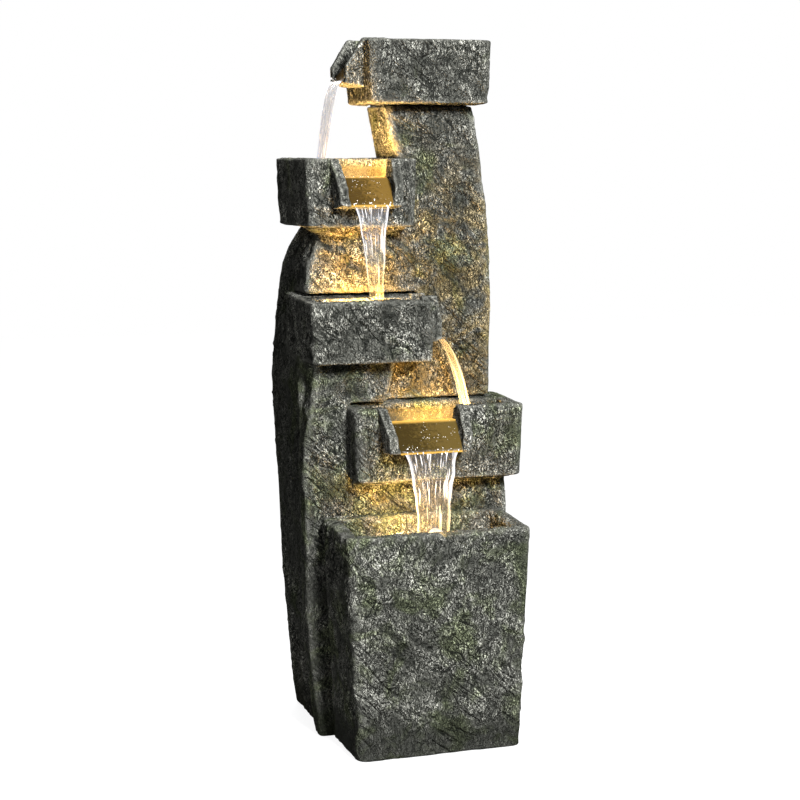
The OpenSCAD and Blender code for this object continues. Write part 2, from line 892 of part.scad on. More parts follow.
module drain_plug() {
    face_x = basin_half_foot + drain_boss_proud;
    color("black") translate([0, pump_y, drain_z]) {
        rod_x(drain_r - running, basin_half_foot - basin_wall / 2, face_x + drain_flange_t);
        rod_x(drain_flange_r, face_x, face_x + drain_flange_t);
        translate([face_x + drain_flange_t / 2, -drain_tab_w / 2, -drain_tab_h / 2])
            cube([drain_flange_t / 2 + drain_tab_l, drain_tab_w, drain_tab_h]);
    }
}

module pump_motor() {
    low = [volute_right, pump_y - motor_w / 2, pump_z - motor_below];
    color("black") difference() {
        translate(low) rotate([90, 0, 90]) linear_extrude(motor_l)
            translate([motor_w / 2, motor_h / 2]) rounded_square([motor_w, motor_h], motor_corner);
        translate([0, pump_y, pump_z]) {
            rod_x(magnet_r + rotor_gap, volute_right - cut, pump_right - rotor_floor);
            rod_x(bush_r + running, pump_right - rotor_floor - cut, pump_right - rotor_floor + bush_l);
        }
        at_cups() translate([0, 0, -cut]) cylinder(r = cup_stem_r + running, h = cup_stem_h + cut);
    }
}

module rounded_square(size, r) {
    square([size[0] - 2 * r, size[1]], center = true);
    square([size[0], size[1] - 2 * r], center = true);
    for (i = [-1, 1], j = [-1, 1]) translate([i * (size[0] / 2 - r), j * (size[1] / 2 - r)]) circle(r = r);
}

module at_cups() {
    for (x = [volute_right + cup_inset, pump_right - cup_inset], side = [-1, 1])
        translate([x, pump_y + side * (motor_w / 2 - cup_inset), pump_z - motor_below]) children();
}

module suction_cups() {
    color("dimgray") at_cups() {
        translate([0, 0, -cup_h]) cylinder(r1 = cup_r, r2 = cup_neck_r, h = cup_h);
        translate([0, 0, -cut]) cylinder(r = cup_stem_r, h = cup_stem_h + cut);
    }
}

module pump_volute() {
    collar_half = nipple_r + collar_wall;
    chamber_r = impeller_r + volute_gap;
    color("black") difference() {
        union() {
            translate([0, pump_y, pump_z]) rod_x(chamber_r + volute_wall, volute_left, volute_right);
            translate([riser_x - collar_half, pump_y - collar_half, pump_z])
                cube([2 * collar_half, 2 * collar_half, motor_above]);
            translate([riser_x, pump_y, pump_z]) cylinder(r = nipple_r, h = motor_above + nipple_h);
        }
        difference() {
            translate([0, pump_y, pump_z]) {
                rod_x(chamber_r, volute_left + volute_face, volute_right + cut);
                rod_x(eye_r, volute_left - cut, volute_right);
            }
            spider();
        }
        translate([0, pump_y, pump_z]) rod_x(bush_r + running, volute_left - cut, volute_left + bush_l + cut);
        translate([riser_x, pump_y, pump_z + hub_r + cut])
            cylinder(r = nipple_r - nipple_wall, h = motor_above + nipple_h);
    }
}

// Hub and spokes in the eye, which carry the front bush
module spider() {
    translate([0, pump_y, pump_z]) {
        rod_x(hub_r, volute_left, volute_left + bush_l);
        for (i = [0:spoke_count - 1]) rotate([i * 360 / spoke_count, 0, 0])
            translate([volute_left, -spoke_w / 2, 0]) cube([bush_l, spoke_w, eye_r + cut]);
    }
}

module pump_strainer() {
    inner_x = strainer_left + strainer_t;
    inner_w = motor_w - 2 * strainer_t;
    collar_half = nipple_r + collar_wall + fit;
    color("dimgray") difference() {
        translate([strainer_left, pump_y, pump_z + (motor_above - motor_below) / 2]) rotate([90, 0, 90])
            linear_extrude(volute_right - strainer_left) rounded_square([motor_w, motor_h], motor_corner);
        translate([inner_x, pump_y - inner_w / 2, pump_z - motor_below + strainer_t])
            cube([volute_right - strainer_left, inner_w, motor_h - 2 * strainer_t]);
        translate([riser_x - collar_half, pump_y - collar_half, pump_z])
            cube([2 * collar_half, 2 * collar_half, motor_h]);
        for (i = [0:slot_count - 1])
            translate([
                strainer_left + slot_margin + i * slot_pitch, pump_y - motor_w,
                pump_z - motor_below + slot_margin
            ]) cube([slot_w, 2 * motor_w, motor_h - 2 * slot_margin]);
        translate([0, pump_y, pump_z]) rod_x(dial_spindle_r + running, strainer_left - cut, inner_x + cut);
        translate([0, pump_y, pump_z + window_at]) rod_x(window_r, strainer_left - cut, inner_x + cut);
    }
}

module flow_dial() {
    inner_x = strainer_left + strainer_t + fit;
    color("silver") translate([0, pump_y, pump_z]) difference() {
        union() {
            rod_x(dial_r, strainer_left - fit - dial_t, strainer_left - fit);
            rod_x(dial_spindle_r, strainer_left - dial_t, inner_x + dial_snap_t);
            rod_x(dial_snap_r, inner_x, inner_x + dial_snap_t);
            translate([strainer_left - dial_t - dial_grip_h, -dial_r, -dial_grip_w / 2])
                cube([dial_grip_h, 2 * dial_r, dial_grip_w]);
        }
        translate([0, 0, window_at]) rod_x(window_r, strainer_left - dial_t - cut, strainer_left + cut);
    }
}

module pump_rotor() {
    plate_x = volute_right - impeller_back_gap;
    vane_x = plate_x - impeller_plate - vane_h;
    color("white") translate([0, pump_y, pump_z]) difference() {
        union() {
            rod_x(magnet_r, volute_right + magnet_play, pump_right - rotor_floor - magnet_play);
            rod_x(rotor_neck_r, plate_x - impeller_plate, volute_right + 2 * magnet_play);
            rod_x(impeller_r, plate_x - impeller_plate, plate_x);
            rod_x(bush_r, vane_x, plate_x);
            for (i = [0:vane_count - 1]) rotate([i * 360 / vane_count, 0, 0])
                translate([vane_x, -vane_t / 2, shaft_r + running + vane_t])
                    cube([plate_x - vane_x, vane_t, impeller_r - shaft_r - 2 * vane_t]);
        }
        rod_x(shaft_r + running, volute_left, pump_right);
    }
}

module pump_shaft() {
    color("white") translate([0, pump_y, pump_z])
        rod_x(shaft_r, volute_left, pump_right - rotor_floor + bush_l);
}

module pump_bushes() {
    color("dimgray") for (x = [volute_left, pump_right - rotor_floor])
        translate([0, pump_y, pump_z]) difference() {
            rod_x(bush_r, x, x + bush_l);
            rod_x(shaft_r + running, x - cut, x + bush_l + cut);
        }
}

module tube(h) {
    difference() {
        cylinder(r = tube_r, h = h);
        translate([0, 0, -cut]) cylinder(r = tube_r - tube_wall, h = h + 2 * cut);
    }
}

module lower_riser() {
    color("whitesmoke") translate([riser_x, pump_y, riser_low_z]) tube(low_elbow_z - fit - riser_low_z);
}

module cross_tube() {
    y0 = pump_y + elbow_bend + fit;
    y1 = riser_y - elbow_bend - fit;
    color("whitesmoke") translate([riser_x, y1, cross_z]) rotate([90, 0, 0]) tube(y1 - y0);
}

module upper_riser() {
    low_z = high_elbow_z + fit;
    color("whitesmoke") translate([riser_x, riser_y, low_z]) tube(riser_top_z - low_z);
}

// An elbow lies in X and Y, from a mouth that looks along -Y to one that looks along -X
module elbow() {
    outer_r = tube_r + elbow_wall;
    difference() {
        union() {
            rotate_extrude(angle = 90) translate([elbow_bend, 0]) circle(r = outer_r);
            translate([elbow_bend, 0, 0]) rotate([90, 0, 0]) cylinder(r = outer_r, h = elbow_socket);
            translate([0, elbow_bend, 0]) rotate([0, -90, 0]) cylinder(r = outer_r, h = elbow_socket);
        }
        rotate_extrude(angle = 90) translate([elbow_bend, 0]) circle(r = tube_r - tube_wall);
        translate([elbow_bend, 0, 0]) rotate([90, 0, 0])
            cylinder(r = tube_r + running, h = elbow_socket + cut);
        translate([0, elbow_bend, 0]) rotate([0, -90, 0])
            cylinder(r = tube_r + running, h = elbow_socket + cut);
    }
}

module riser_elbows() {
    color("lightgray") {
        translate([riser_x, pump_y + elbow_bend, low_elbow_z]) rotate([90, 0, -90]) elbow();
        translate([riser_x, riser_y - elbow_bend, high_elbow_z]) rotate([-90, 0, 90]) elbow();
    }
}

module riser_grommet() {
    color("black") translate([riser_x, 0, cross_z]) difference() {
        union() {
            rod_y(tube_r + grommet_t, basin_back_y, pier_y);
            rod_y(tube_r + grommet_t + grommet_lip, basin_back_y - grommet_lip_t, basin_back_y);
        }
        rod_y(tube_r + running, basin_back_y - grommet_lip_t - cut, pier_y + cut);
    }
}

module riser_clips() {
    arm_y = tube_r + fit + clip_t / 2;
    color("lightgray") for (share = clip_z_shares)
        translate([riser_x, riser_y, column_h * share]) difference() {
            union() {
                cylinder(r = tube_r + fit + clip_t, h = clip_h);
                translate([-clip_arm_w / 2, arm_y, 0]) cube([clip_arm_w, riser_back - arm_y, clip_h]);
            }
            translate([0, 0, -cut]) cylinder(r = tube_r + fit, h = clip_h + 2 * cut);
        }
}

module inlet_fitting() {
    floor_z = top_at[2] + bowl_floor;
    low_z = inlet_low_z - inlet_barb;
    spout_h = inlet_flange_t + inlet_spout_h;
    color("black") translate([riser_x, riser_y, 0]) difference() {
        union() {
            translate([0, 0, low_z]) cylinder(r = nipple_r, h = inlet_barb + cut);
            translate([0, 0, inlet_low_z]) cylinder(r = inlet_stem_r, h = floor_z - inlet_low_z + cut);
            translate([0, 0, floor_z]) cylinder(r = inlet_flange_r, h = inlet_flange_t);
            translate([0, 0, floor_z]) cylinder(r = inlet_spout_r, h = spout_h);
        }
        translate([0, 0, low_z - cut]) cylinder(r = inlet_bore_r, h = floor_z + spout_h - low_z + 2 * cut);
    }
}

module inlet_nut() {
    color("black") translate([riser_x, riser_y, column_h - shell_wall - nut_t]) difference() {
        cylinder(r = nut_r, h = nut_t, $fn = 6);
        translate([0, 0, -cut]) cylinder(r = inlet_stem_r + running, h = nut_t + 2 * cut);
    }
}

// A light: a puck with a seat for its lens and a hole for its lead, from behind or from below
module light_body(at, from_below) {
    color("black") translate(at) difference() {
        cylinder(r = light_r, h = light_h);
        translate([0, 0, light_h - lens_h]) cylinder(r = lens_r + fit, h = lens_h + cut);
        if (from_below)
            translate([0, 0, -cut]) cylinder(r = lead_r + running, h = lead_entry + cut);
        else
            translate([0, 0, lead_rise]) rod_y(lead_r + running, light_r - lead_entry, light_r + cut);
    }
}

module light_lens(at) {
    color("gold") translate([at[0], at[1], at[2] + light_h - lens_h]) {
        cylinder(r = lens_r, h = lens_h);
        translate([0, 0, lens_h]) cylinder(r1 = lens_r, r2 = lens_r / 2, h = lens_dome);
    }
}

// A lead is swept through its points, with each corner rounded into a few steps
function bow(a, b, c, s) = (1 - s) * (1 - s) * a + 2 * s * (1 - s) * b + s * s * c;
function rounded(p) = concat(
    [p[0]],
    [
        for (i = [1:len(p) - 2], step = [0:bend_steps])
            bow(
                p[i] - lead_bend * direction(p[i - 1], p[i]), p[i],
                p[i] + lead_bend * direction(p[i], p[i + 1]), step / bend_steps
            )
    ],
    [p[len(p) - 1]]
);
function tangent(p, i) =
    i == 0 ? direction(p[0], p[1])
    : i == len(p) - 1 ? direction(p[i - 1], p[i])
    : direction([0, 0, 0], direction(p[i - 1], p[i]) + direction(p[i], p[i + 1]));
function first_ring(p, u) = let (
    side = cross(u, abs(u[2]) < 0.9 ? [0, 0, 1] : [1, 0, 0]),
    v = side / norm(side),
    w = cross(u, v)
) [for (k = [0:lead_sides - 1]) let (a = k * 360 / lead_sides) p + lead_r * (cos(a) * v + sin(a) * w)];
function ring(p, i) = i == 0
    ? first_ring(p[0], tangent(p, 0))
    : let (u = direction(p[i - 1], p[i]), t = tangent(p, i))
        [for (q = ring(p, i - 1)) q + u * ((p[i] - q) * t) / (u * t)];

module lead(points) {
    path = rounded(points);
    n = lead_sides;
    last = (len(path) - 1) * n;
    polyhedron(
        points = [for (i = [0:len(path) - 1]) each ring(path, i)],
        faces = concat(
            [[for (k = [0:n - 1]) k]],
            [
                for (i = [0:len(path) - 2], k = [0:n - 1], upper = [true, false])
                    let (here = i * n, next = here + n, turn = (k + 1) % n)
                    upper ? [here + k, next + k, next + turn] : [here + k, next + turn, here + turn]
            ],
            [[for (k = [n - 1:-1:0]) last + k]]
        )
    );
}

// Sockets of the lead block, from left to right, and where each lead ends in its plug
function socket_at(i) = [block_x + (i - (lead_count - 1) / 2) * socket_pitch, lead_row_y];
function lead_end(i) = [socket_at(i)[0], socket_at(i)[1], block_top + plug_h - lead_entry];
function back_of(at) = [at[0], at[1] + light_r - lead_entry, at[2] + lead_rise];
function over(p, z) = [p[0], p[1], z];

module light_leads() {
    second_end = lead_end(1);
    third_end = lead_end(2);
    fourth_end = lead_end(3);
    basin_end = lead_end(0);
    third_start = back_of(third_light_at);
    fourth_start = back_of(fourth_light_at);
    basin_start = back_of(basin_light_at);
    third_back = third_at[1] + third_size[1] + lead_turn / 2;
    fourth_back = fourth_at[1] + fourth_size[1] + lead_turn / 2;
    color("black") {
        lead([
            over(second_light_at, second_light_at[2] + lead_entry),
            over(second_light_at, shoulder_z - lead_turn),
            over(second_end, shoulder_z - 2 * lead_turn),
            second_end
        ]);
        lead([
            third_start, [third_start[0], third_back, third_start[2]],
            over(third_end, third_start[2] - lead_turn), third_end
        ]);
        lead([
            fourth_start, [fourth_start[0], fourth_back, fourth_start[2]],
            over(fourth_end, fourth_start[2] - lead_turn), fourth_end
        ]);
        lead([
            basin_start, [basin_start[0], column_front_in + lead_turn, basin_start[2]],
            [basin_end[0], lead_row_y - lead_turn, block_top + lead_turn],
            over(basin_end, block_top + lead_turn), basin_end
        ]);
    }
}

module sleeve_y(at, y0, y1) {
    translate([at[0], 0, at[2] + lead_rise]) difference() {
        rod_y(seal_r, y0, y1);
        rod_y(lead_r + running, y0 - cut, y1 + cut);
    }
}

module lead_seals() {
    color("black") {
        sleeve_y(third_light_at, column_y - pool_back_wall - seal_proud, column_y);
        sleeve_y(fourth_light_at, column_y - pool_back_wall - seal_proud, column_y);
        sleeve_y(basin_light_at, basin_back_y - seal_proud, pier_y);
        translate(over(second_light_at, shoulder_z - shell_wall)) difference() {
            cylinder(r = seal_r, h = shell_wall + bowl_floor);
            translate([0, 0, -cut]) cylinder(r = lead_r + running, h = shell_wall + bowl_floor + 2 * cut);
        }
    }
}

module lead_block() {
    color("dimgray") difference() {
        translate([block_x - block_w / 2, column_back_in - block_d, block_z])
            cube([block_w, block_d, block_h]);
        for (i = [0:lead_count - 1]) translate(over(socket_at(i), block_top - socket_depth))
            cylinder(r = plug_r + running, h = socket_depth + cut);
    }
}

module lead_plugs() {
    color("black") for (i = [0:lead_count - 1])
        translate(over(socket_at(i), block_top - socket_depth)) difference() {
            cylinder(r = plug_r, h = socket_depth + plug_h);
            translate([0, 0, socket_depth + plug_h - lead_entry])
                cylinder(r = lead_r + running, h = lead_entry + cut);
        }
}

module second_light() light_body(second_light_at, true);
module third_light() light_body(third_light_at, false);
module fourth_light() light_body(fourth_light_at, false);
module basin_light() light_body(basin_light_at, false);
module second_lens() light_lens(second_light_at);
module third_lens() light_lens(third_light_at);
module fourth_lens() light_lens(fourth_light_at);
module basin_lens() light_lens(basin_light_at);

column();
back_panel();
pier();
basin();
top_bowl();
second_bowl();
third_bowl();
fourth_bowl();
top_chute();
second_chute();
third_chute();
fourth_chute();
top_gasket();
top_dowels();
body_bolts();
body_nuts();
sealing_washers();
pier_bolt();
foot_pads();
access_door();
door_screws();
cord_grommet();
drain_plug();
pump_motor();
pump_volute();
pump_strainer();
flow_dial();
pump_rotor();
pump_shaft();
pump_bushes();
suction_cups();
lower_riser();
cross_tube();
upper_riser();
riser_elbows();
riser_grommet();
riser_clips();
inlet_fitting();
inlet_nut();
second_light();
third_light();
fourth_light();
basin_light();
second_lens();
third_lens();
fourth_lens();
basin_lens();
light_leads();
lead_seals();
lead_block();
lead_plugs();
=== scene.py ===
import json
import math
import random

import bmesh
import bpy
import numpy as np
from mathutils import Matrix, Vector, noise

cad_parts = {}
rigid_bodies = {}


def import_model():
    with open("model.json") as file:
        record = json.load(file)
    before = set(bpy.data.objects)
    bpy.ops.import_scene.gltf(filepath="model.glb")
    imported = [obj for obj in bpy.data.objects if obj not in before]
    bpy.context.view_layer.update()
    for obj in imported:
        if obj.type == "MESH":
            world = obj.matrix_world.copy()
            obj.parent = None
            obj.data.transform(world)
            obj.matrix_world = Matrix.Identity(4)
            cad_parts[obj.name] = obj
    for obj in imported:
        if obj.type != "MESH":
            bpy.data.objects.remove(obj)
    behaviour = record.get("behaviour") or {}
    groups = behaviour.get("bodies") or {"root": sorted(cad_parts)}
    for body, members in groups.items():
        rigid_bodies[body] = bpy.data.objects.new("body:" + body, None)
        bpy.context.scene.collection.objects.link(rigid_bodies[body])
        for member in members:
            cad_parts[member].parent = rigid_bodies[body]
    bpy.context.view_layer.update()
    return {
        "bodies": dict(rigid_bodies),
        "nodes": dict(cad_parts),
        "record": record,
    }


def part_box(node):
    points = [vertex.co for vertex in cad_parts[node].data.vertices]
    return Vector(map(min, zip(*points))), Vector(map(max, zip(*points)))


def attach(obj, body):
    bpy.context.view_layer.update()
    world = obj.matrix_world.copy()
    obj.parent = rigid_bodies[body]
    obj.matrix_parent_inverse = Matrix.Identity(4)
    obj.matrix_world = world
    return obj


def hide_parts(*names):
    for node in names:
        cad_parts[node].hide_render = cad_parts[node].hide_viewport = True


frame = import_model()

BODY = "fountain"
GRAVITY = 9.81

# Camera, at the photograph's viewing angle
CAMERA_AT = (-0.8347, -2.4647, 0.8355)
CAMERA_TURN = math.radians(18.6)
CAMERA_DOWN = math.radians(7.66)
CAMERA_LENS = 81
CAMERA_SENSOR = 36

# Sizes that the solids have and the water follows
BOWL_WALL = 0.016
POOL_BACK_WALL = 0.014
WEIR_DROP = 0.024
LIP_DROP = 0.062
LIP_THICKNESS = 0.003
LIP_PROUD = 0.001

# The water's own sizes. A film starts in its pool, that far behind the weir.
BASIN_LEVEL = 0.288
BASIN_INSET = 0.020
WATER_OVER_WEIR = 0.0016
WATER_INTO_WALL = 0.004
FILM_THICKNESS = 0.0012
FILM_START = -0.8 * BOWL_WALL
CHEEK_GAP = 0.0012
POOL_CELL = 0.0025
BEADS = 30
BEAD_RADIUS = (0.0004, 0.0010)
BEAD_STRETCH = (1.0, 1.9)

# Carved relief: the seed that makes it the same at each run, and its waves in a metre
RELIEF_SEED = 14
SWELLS = 9
FOLDS = 13
RIDGES = 42
CUTS = 34
LUMPS = 88

# How many waves run along a stroke for each one across it, and how low and high the relief may go
STROKE_SHARE = 0.30
RELIEF_RANGE = (-1.6, 1.5)

# How the relief and the skin change near rims, in a sagging front, at undersides and at the foot
RIM_BLUR = 6
FULL_RIM = 0.07
RIM_WEAR = 0.85
RIM_BAND = 0.060
RIM_FADE = 0.055
CALM_BELOW_RIM = 0.014
SAG_SLOPE = 1.6
SAG_START = 0.25
DROP_BAND = 0.050
FOOT_BAND = 0.024
FOOT_DROP = 0.0045
FLOOR_REST = 0.0015

# The stone's grain, as waves in a metre, and the sizes of its patches
STONE_GRAIN = 200
MOSS_PATCH = 0.055
FADED_PATCH = 0.13
RUST_PATCH = 0.030

# Where the darker foot, the painted shade on the left flank, and rust start, and where they are full
FOOT_DARKENING = (0.074, 0.022)
SHADED_LEFT_FLANK = (-0.136, -0.150)
RUST_HEIGHT = (0.90, 0.72)
RUST_ACROSS = (-0.140, -0.090)

# Colours, as plain linear values
# The colour of painted shade in grooves, creases and cuts
CREASE_SHADE = (0.007, 0.008, 0.007, 1)
CHARCOAL = (0.070, 0.072, 0.063, 1)
DRY_BRUSH = (0.560, 0.560, 0.500, 1)
MOSS_TINT = (0.76, 0.88, 0.52, 1)
OCHRE_TINT = (1.55, 1.20, 0.66, 1)
# The golden tint of warm lamp light, painted into the insides of the bowls
PAINTED_WARM_LIGHT_TINT = (0.80, 0.60, 0.30, 1)
CLEAR_TINT = (0.55, 0.55, 0.55, 1)
WEIR_PAINTED_GLOW = (0.62, 0.36, 0.07, 1)
FILM_PAINTED_GLINT = (1.0, 0.97, 0.88, 1)
BEAD_GREY = (0.86, 0.86, 0.84, 1)
POOL_DEEP = (0.30, 0.26, 0.16, 1)
POOL_PAINTED_GLINT = (0.90, 0.90, 0.86, 1)
LENS_DIM = (1.0, 0.58, 0.16, 1)
LENS_BRIGHT = (1.0, 0.80, 0.42, 1)
FLOOR_NEAR = (0.20, 0.20, 0.20, 1)
FLOOR_FAR = (0.02, 0.02, 0.02, 1)
WARM_LIGHT = (1.0, 0.60, 0.20)
WHITE = (1, 1, 1, 1)

WATER_IOR = 1.33

collection = bpy.context.scene.collection
boxes = {name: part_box(name) for name in frame["nodes"]}
noise.seed_set(RELIEF_SEED)


# Node trees

def fill_inputs(tree, made, inputs):
    """Fills a node's inputs with plain values or links."""
    for name, value in inputs.items():
        if isinstance(value, bpy.types.NodeSocket):
            tree.links.new(value, made.inputs[name])
        else:
            made.inputs[name].default_value = value


def put(tree, kind, inputs=None, **options):
    """Adds a shader node, sets its options, and fills its inputs."""
    made = tree.nodes.new("ShaderNode" + kind)
    for option, value in options.items():
        setattr(made, option, value)
    fill_inputs(tree, made, inputs or {})
    return made


def combine(tree, operation, first, second=0.0):
    return put(tree, "Math", {0: first, 1: second}, operation=operation).outputs[0]


def times(tree, first, second):
    return combine(tree, "MULTIPLY", first, second)


def plus(tree, first, second):
    return combine(tree, "ADD", first, second)


def larger(tree, first, second):
    return combine(tree, "MAXIMUM", first, second)


def rest_of(tree, share):
    """What a share leaves of 1."""
    return combine(tree, "SUBTRACT", 1.0, share)


def off_middle(tree, value):
    """How far a noise is from its middle value, on either side."""
    return combine(tree, "ABSOLUTE", combine(tree, "SUBTRACT", value, 0.5))


def between(tree, value, low, high):
    """0 below low and 1 above high, with a soft step between them. It falls where high is the smaller."""
    inputs = {"Value": value, "From Min": low, "From Max": high}
    return put(tree, "MapRange", inputs, interpolation_type="SMOOTHSTEP").outputs["Result"]


def from_to(tree, share, low, high):
    """The value that lies at that share of the way from low to high."""
    return put(tree, "MapRange", {"Value": share, "To Min": low, "To Max": high}).outputs["Result"]


def blend_colour(tree, share, first, second):
    return put(tree, "Mix", {0: share, 6: first, 7: second}, data_type="RGBA").outputs[2]


def tint_colour(tree, share, colour, tint):
    """The colour multiplied by a tint, as far as share says."""
    return put(tree, "Mix", {0: share, 6: colour, 7: tint}, data_type="RGBA", blend_type="MULTIPLY").outputs[2]


def cloud(tree, place, scale, detail, distortion=0.0, roughness=0.5):
    """Soft noise, with about scale waves in a metre."""
    return put(tree, "TexNoise", {
        "Vector": place, "Scale": scale, "Detail": detail, "Roughness": roughness, "Distortion": distortion,
    }).outputs["Fac"]


def bumpy(tree, strength, distance, height):
    """The normal of a surface that a height, times that distance, raises."""
    return put(tree, "Bump", {"Strength": strength, "Distance": distance, "Height": height}).outputs["Normal"]


def stored(tree, name):
    """A value that the mesh holds for each of its points."""
    return put(tree, "Attribute", attribute_name=name).outputs["Fac"]


def seen_directly(tree):
    """1 for what the camera sees, straight, in a reflection or through glass, and 0 for light that only bounces."""
    path = put(tree, "LightPath")
    seen = larger(tree, path.outputs["Is Camera Ray"], path.outputs["Is Glossy Ray"])
    return larger(tree, seen, path.outputs["Is Transmission Ray"])


def new_group(name, inputs, outputs):
    """An empty shader group with those sockets, as (tree, its inside inputs, its inside outputs)."""
    tree = bpy.data.node_groups.new(name, "ShaderNodeTree")
    for socket, kind in inputs.items():
        tree.interface.new_socket(socket, in_out="INPUT", socket_type="NodeSocket" + kind)
    for socket in outputs:
        tree.interface.new_socket(socket, in_out="OUTPUT", socket_type="NodeSocketFloat")
    return tree, tree.nodes.new("NodeGroupInput").outputs, tree.nodes.new("NodeGroupOutput").inputs


def use_group(tree, group, inputs):
    made = tree.nodes.new("ShaderNodeGroup")
    made.node_tree = group
    fill_inputs(tree, made, inputs)
    return made.outputs


def make_chiselled_grain():
    """Crinkled tooling: its height, the flecks a dry brush leaves along its ridges, and its grooves, where shade is
    painted.
    """
    tree, inside, out = new_group(
        "chiselled grain", {"Vector": "Vector", "Grain": "Float"}, ["Height", "Flecks", "Grooves"]
    )
    here = inside["Vector"]
    grain = inside["Grain"]
    strokes = put(tree, "Mapping", {
        "Vector": here, "Rotation": (0.3, 0.75, 0.2), "Scale": (1.0, 1.0, 0.55),
    }).outputs["Vector"]
    slanting = put(tree, "Mapping", {"Vector": here, "Rotation": (0.0, 0.87, 0.0)}).outputs["Vector"]
    slanting = put(tree, "Mapping", {"Vector": slanting, "Scale": (1.0, 1.0, 0.24)}).outputs["Vector"]
    broad = cloud(tree, here, times(tree, grain, 0.13), 2)
    folded = between(tree, cloud(tree, here, times(tree, grain, 0.05), 1), 0.42, 0.60)

    # A ridge runs wherever the fine noise crosses its middle value, and grooves where the others do
    fine_side = off_middle(tree, cloud(tree, strokes, grain, 1, 2.2))
    wide_side = off_middle(tree, cloud(tree, strokes, times(tree, grain, 0.45), 2, 2.0))
    fold_side = off_middle(tree, cloud(tree, slanting, times(tree, grain, 0.23), 2, 0.6))

    crest = between(tree, fine_side, 0.110, 0.010)
    rise = between(tree, wide_side, 0.0, 0.075)
    fold_rise = times(tree, between(tree, fold_side, 0.0, 0.110), folded)
    height = plus(tree, times(tree, crest, 0.60), times(tree, rise, 0.80))
    height = plus(tree, height, times(tree, fold_rise, 1.9))
    tree.links.new(plus(tree, height, times(tree, broad, 1.2)), out["Height"])

    flecks = times(tree, between(tree, fine_side, 0.060, 0.012), between(tree, wide_side, 0.015, 0.060))
    tree.links.new(times(tree, flecks, between(tree, broad, 0.28, 0.62)), out["Flecks"])

    # Painted shade in the fine hollows, the grooves and the fold creases
    hollows = times(tree, between(tree, fine_side, 0.090, 0.170), 0.80)
    grooves = larger(tree, between(tree, wide_side, 0.032, 0.008), hollows)
    creases = times(tree, between(tree, fold_side, 0.022, 0.008), folded)
    tree.links.new(larger(tree, grooves, creases), out["Grooves"])
    return tree


def make_patches():
    """Soft-edged patches, such as moss or stains: Size in metres, and Amount from 0, none, to 1, all over."""
    tree, inside, out = new_group(
        "patches", {"Vector": "Vector", "Size": "Float", "Amount": "Float"}, ["Mask"]
    )
    scale = combine(tree, "DIVIDE", 1.0, inside["Size"])
    clouds = cloud(tree, inside["Vector"], scale, 5, 0.6, 0.65)
    edge = combine(tree, "SUBTRACT", 0.72, times(tree, inside["Amount"], 0.44))
    soft = combine(tree, "SUBTRACT", clouds, edge)
    tree.links.new(between(tree, soft, -0.08, 0.12), out["Mask"])
    return tree


def make_moulded_skin():
    """The faint pebbling and mottling of a moulded piece."""
    tree, inside, out = new_group(
        "moulded skin", {"Vector": "Vector", "Size": "Float"}, ["Height", "Mottle"]
    )
    scale = combine(tree, "DIVIDE", 1.0, inside["Size"])
    pebbles = cloud(tree, inside["Vector"], scale, 3)
    clouds = cloud(tree, inside["Vector"], times(tree, scale, 0.06), 4)
    tree.links.new(pebbles, out["Height"])
    tree.links.new(between(tree, clouds, 0.35, 0.65), out["Mottle"])
    return tree


chiselled_grain = make_chiselled_grain()
patches = make_patches()
moulded_skin = make_moulded_skin()


# Materials

def new_material(name):
    """An empty material, as (material, tree, its object coordinates)."""
    material = bpy.data.materials.new(name)
    material.use_nodes = True
    tree = material.node_tree
    tree.nodes.clear()
    return material, tree, put(tree, "TexCoord").outputs["Object"]


def surface(tree, inputs):
    shader = put(tree, "BsdfPrincipled", inputs)
    put(tree, "OutputMaterial", {"Surface": shader.outputs["BSDF"]})


def patchy(tree, here, size, amount):
    return use_group(tree, patches, {"Vector": here, "Size": size, "Amount": amount})["Mask"]


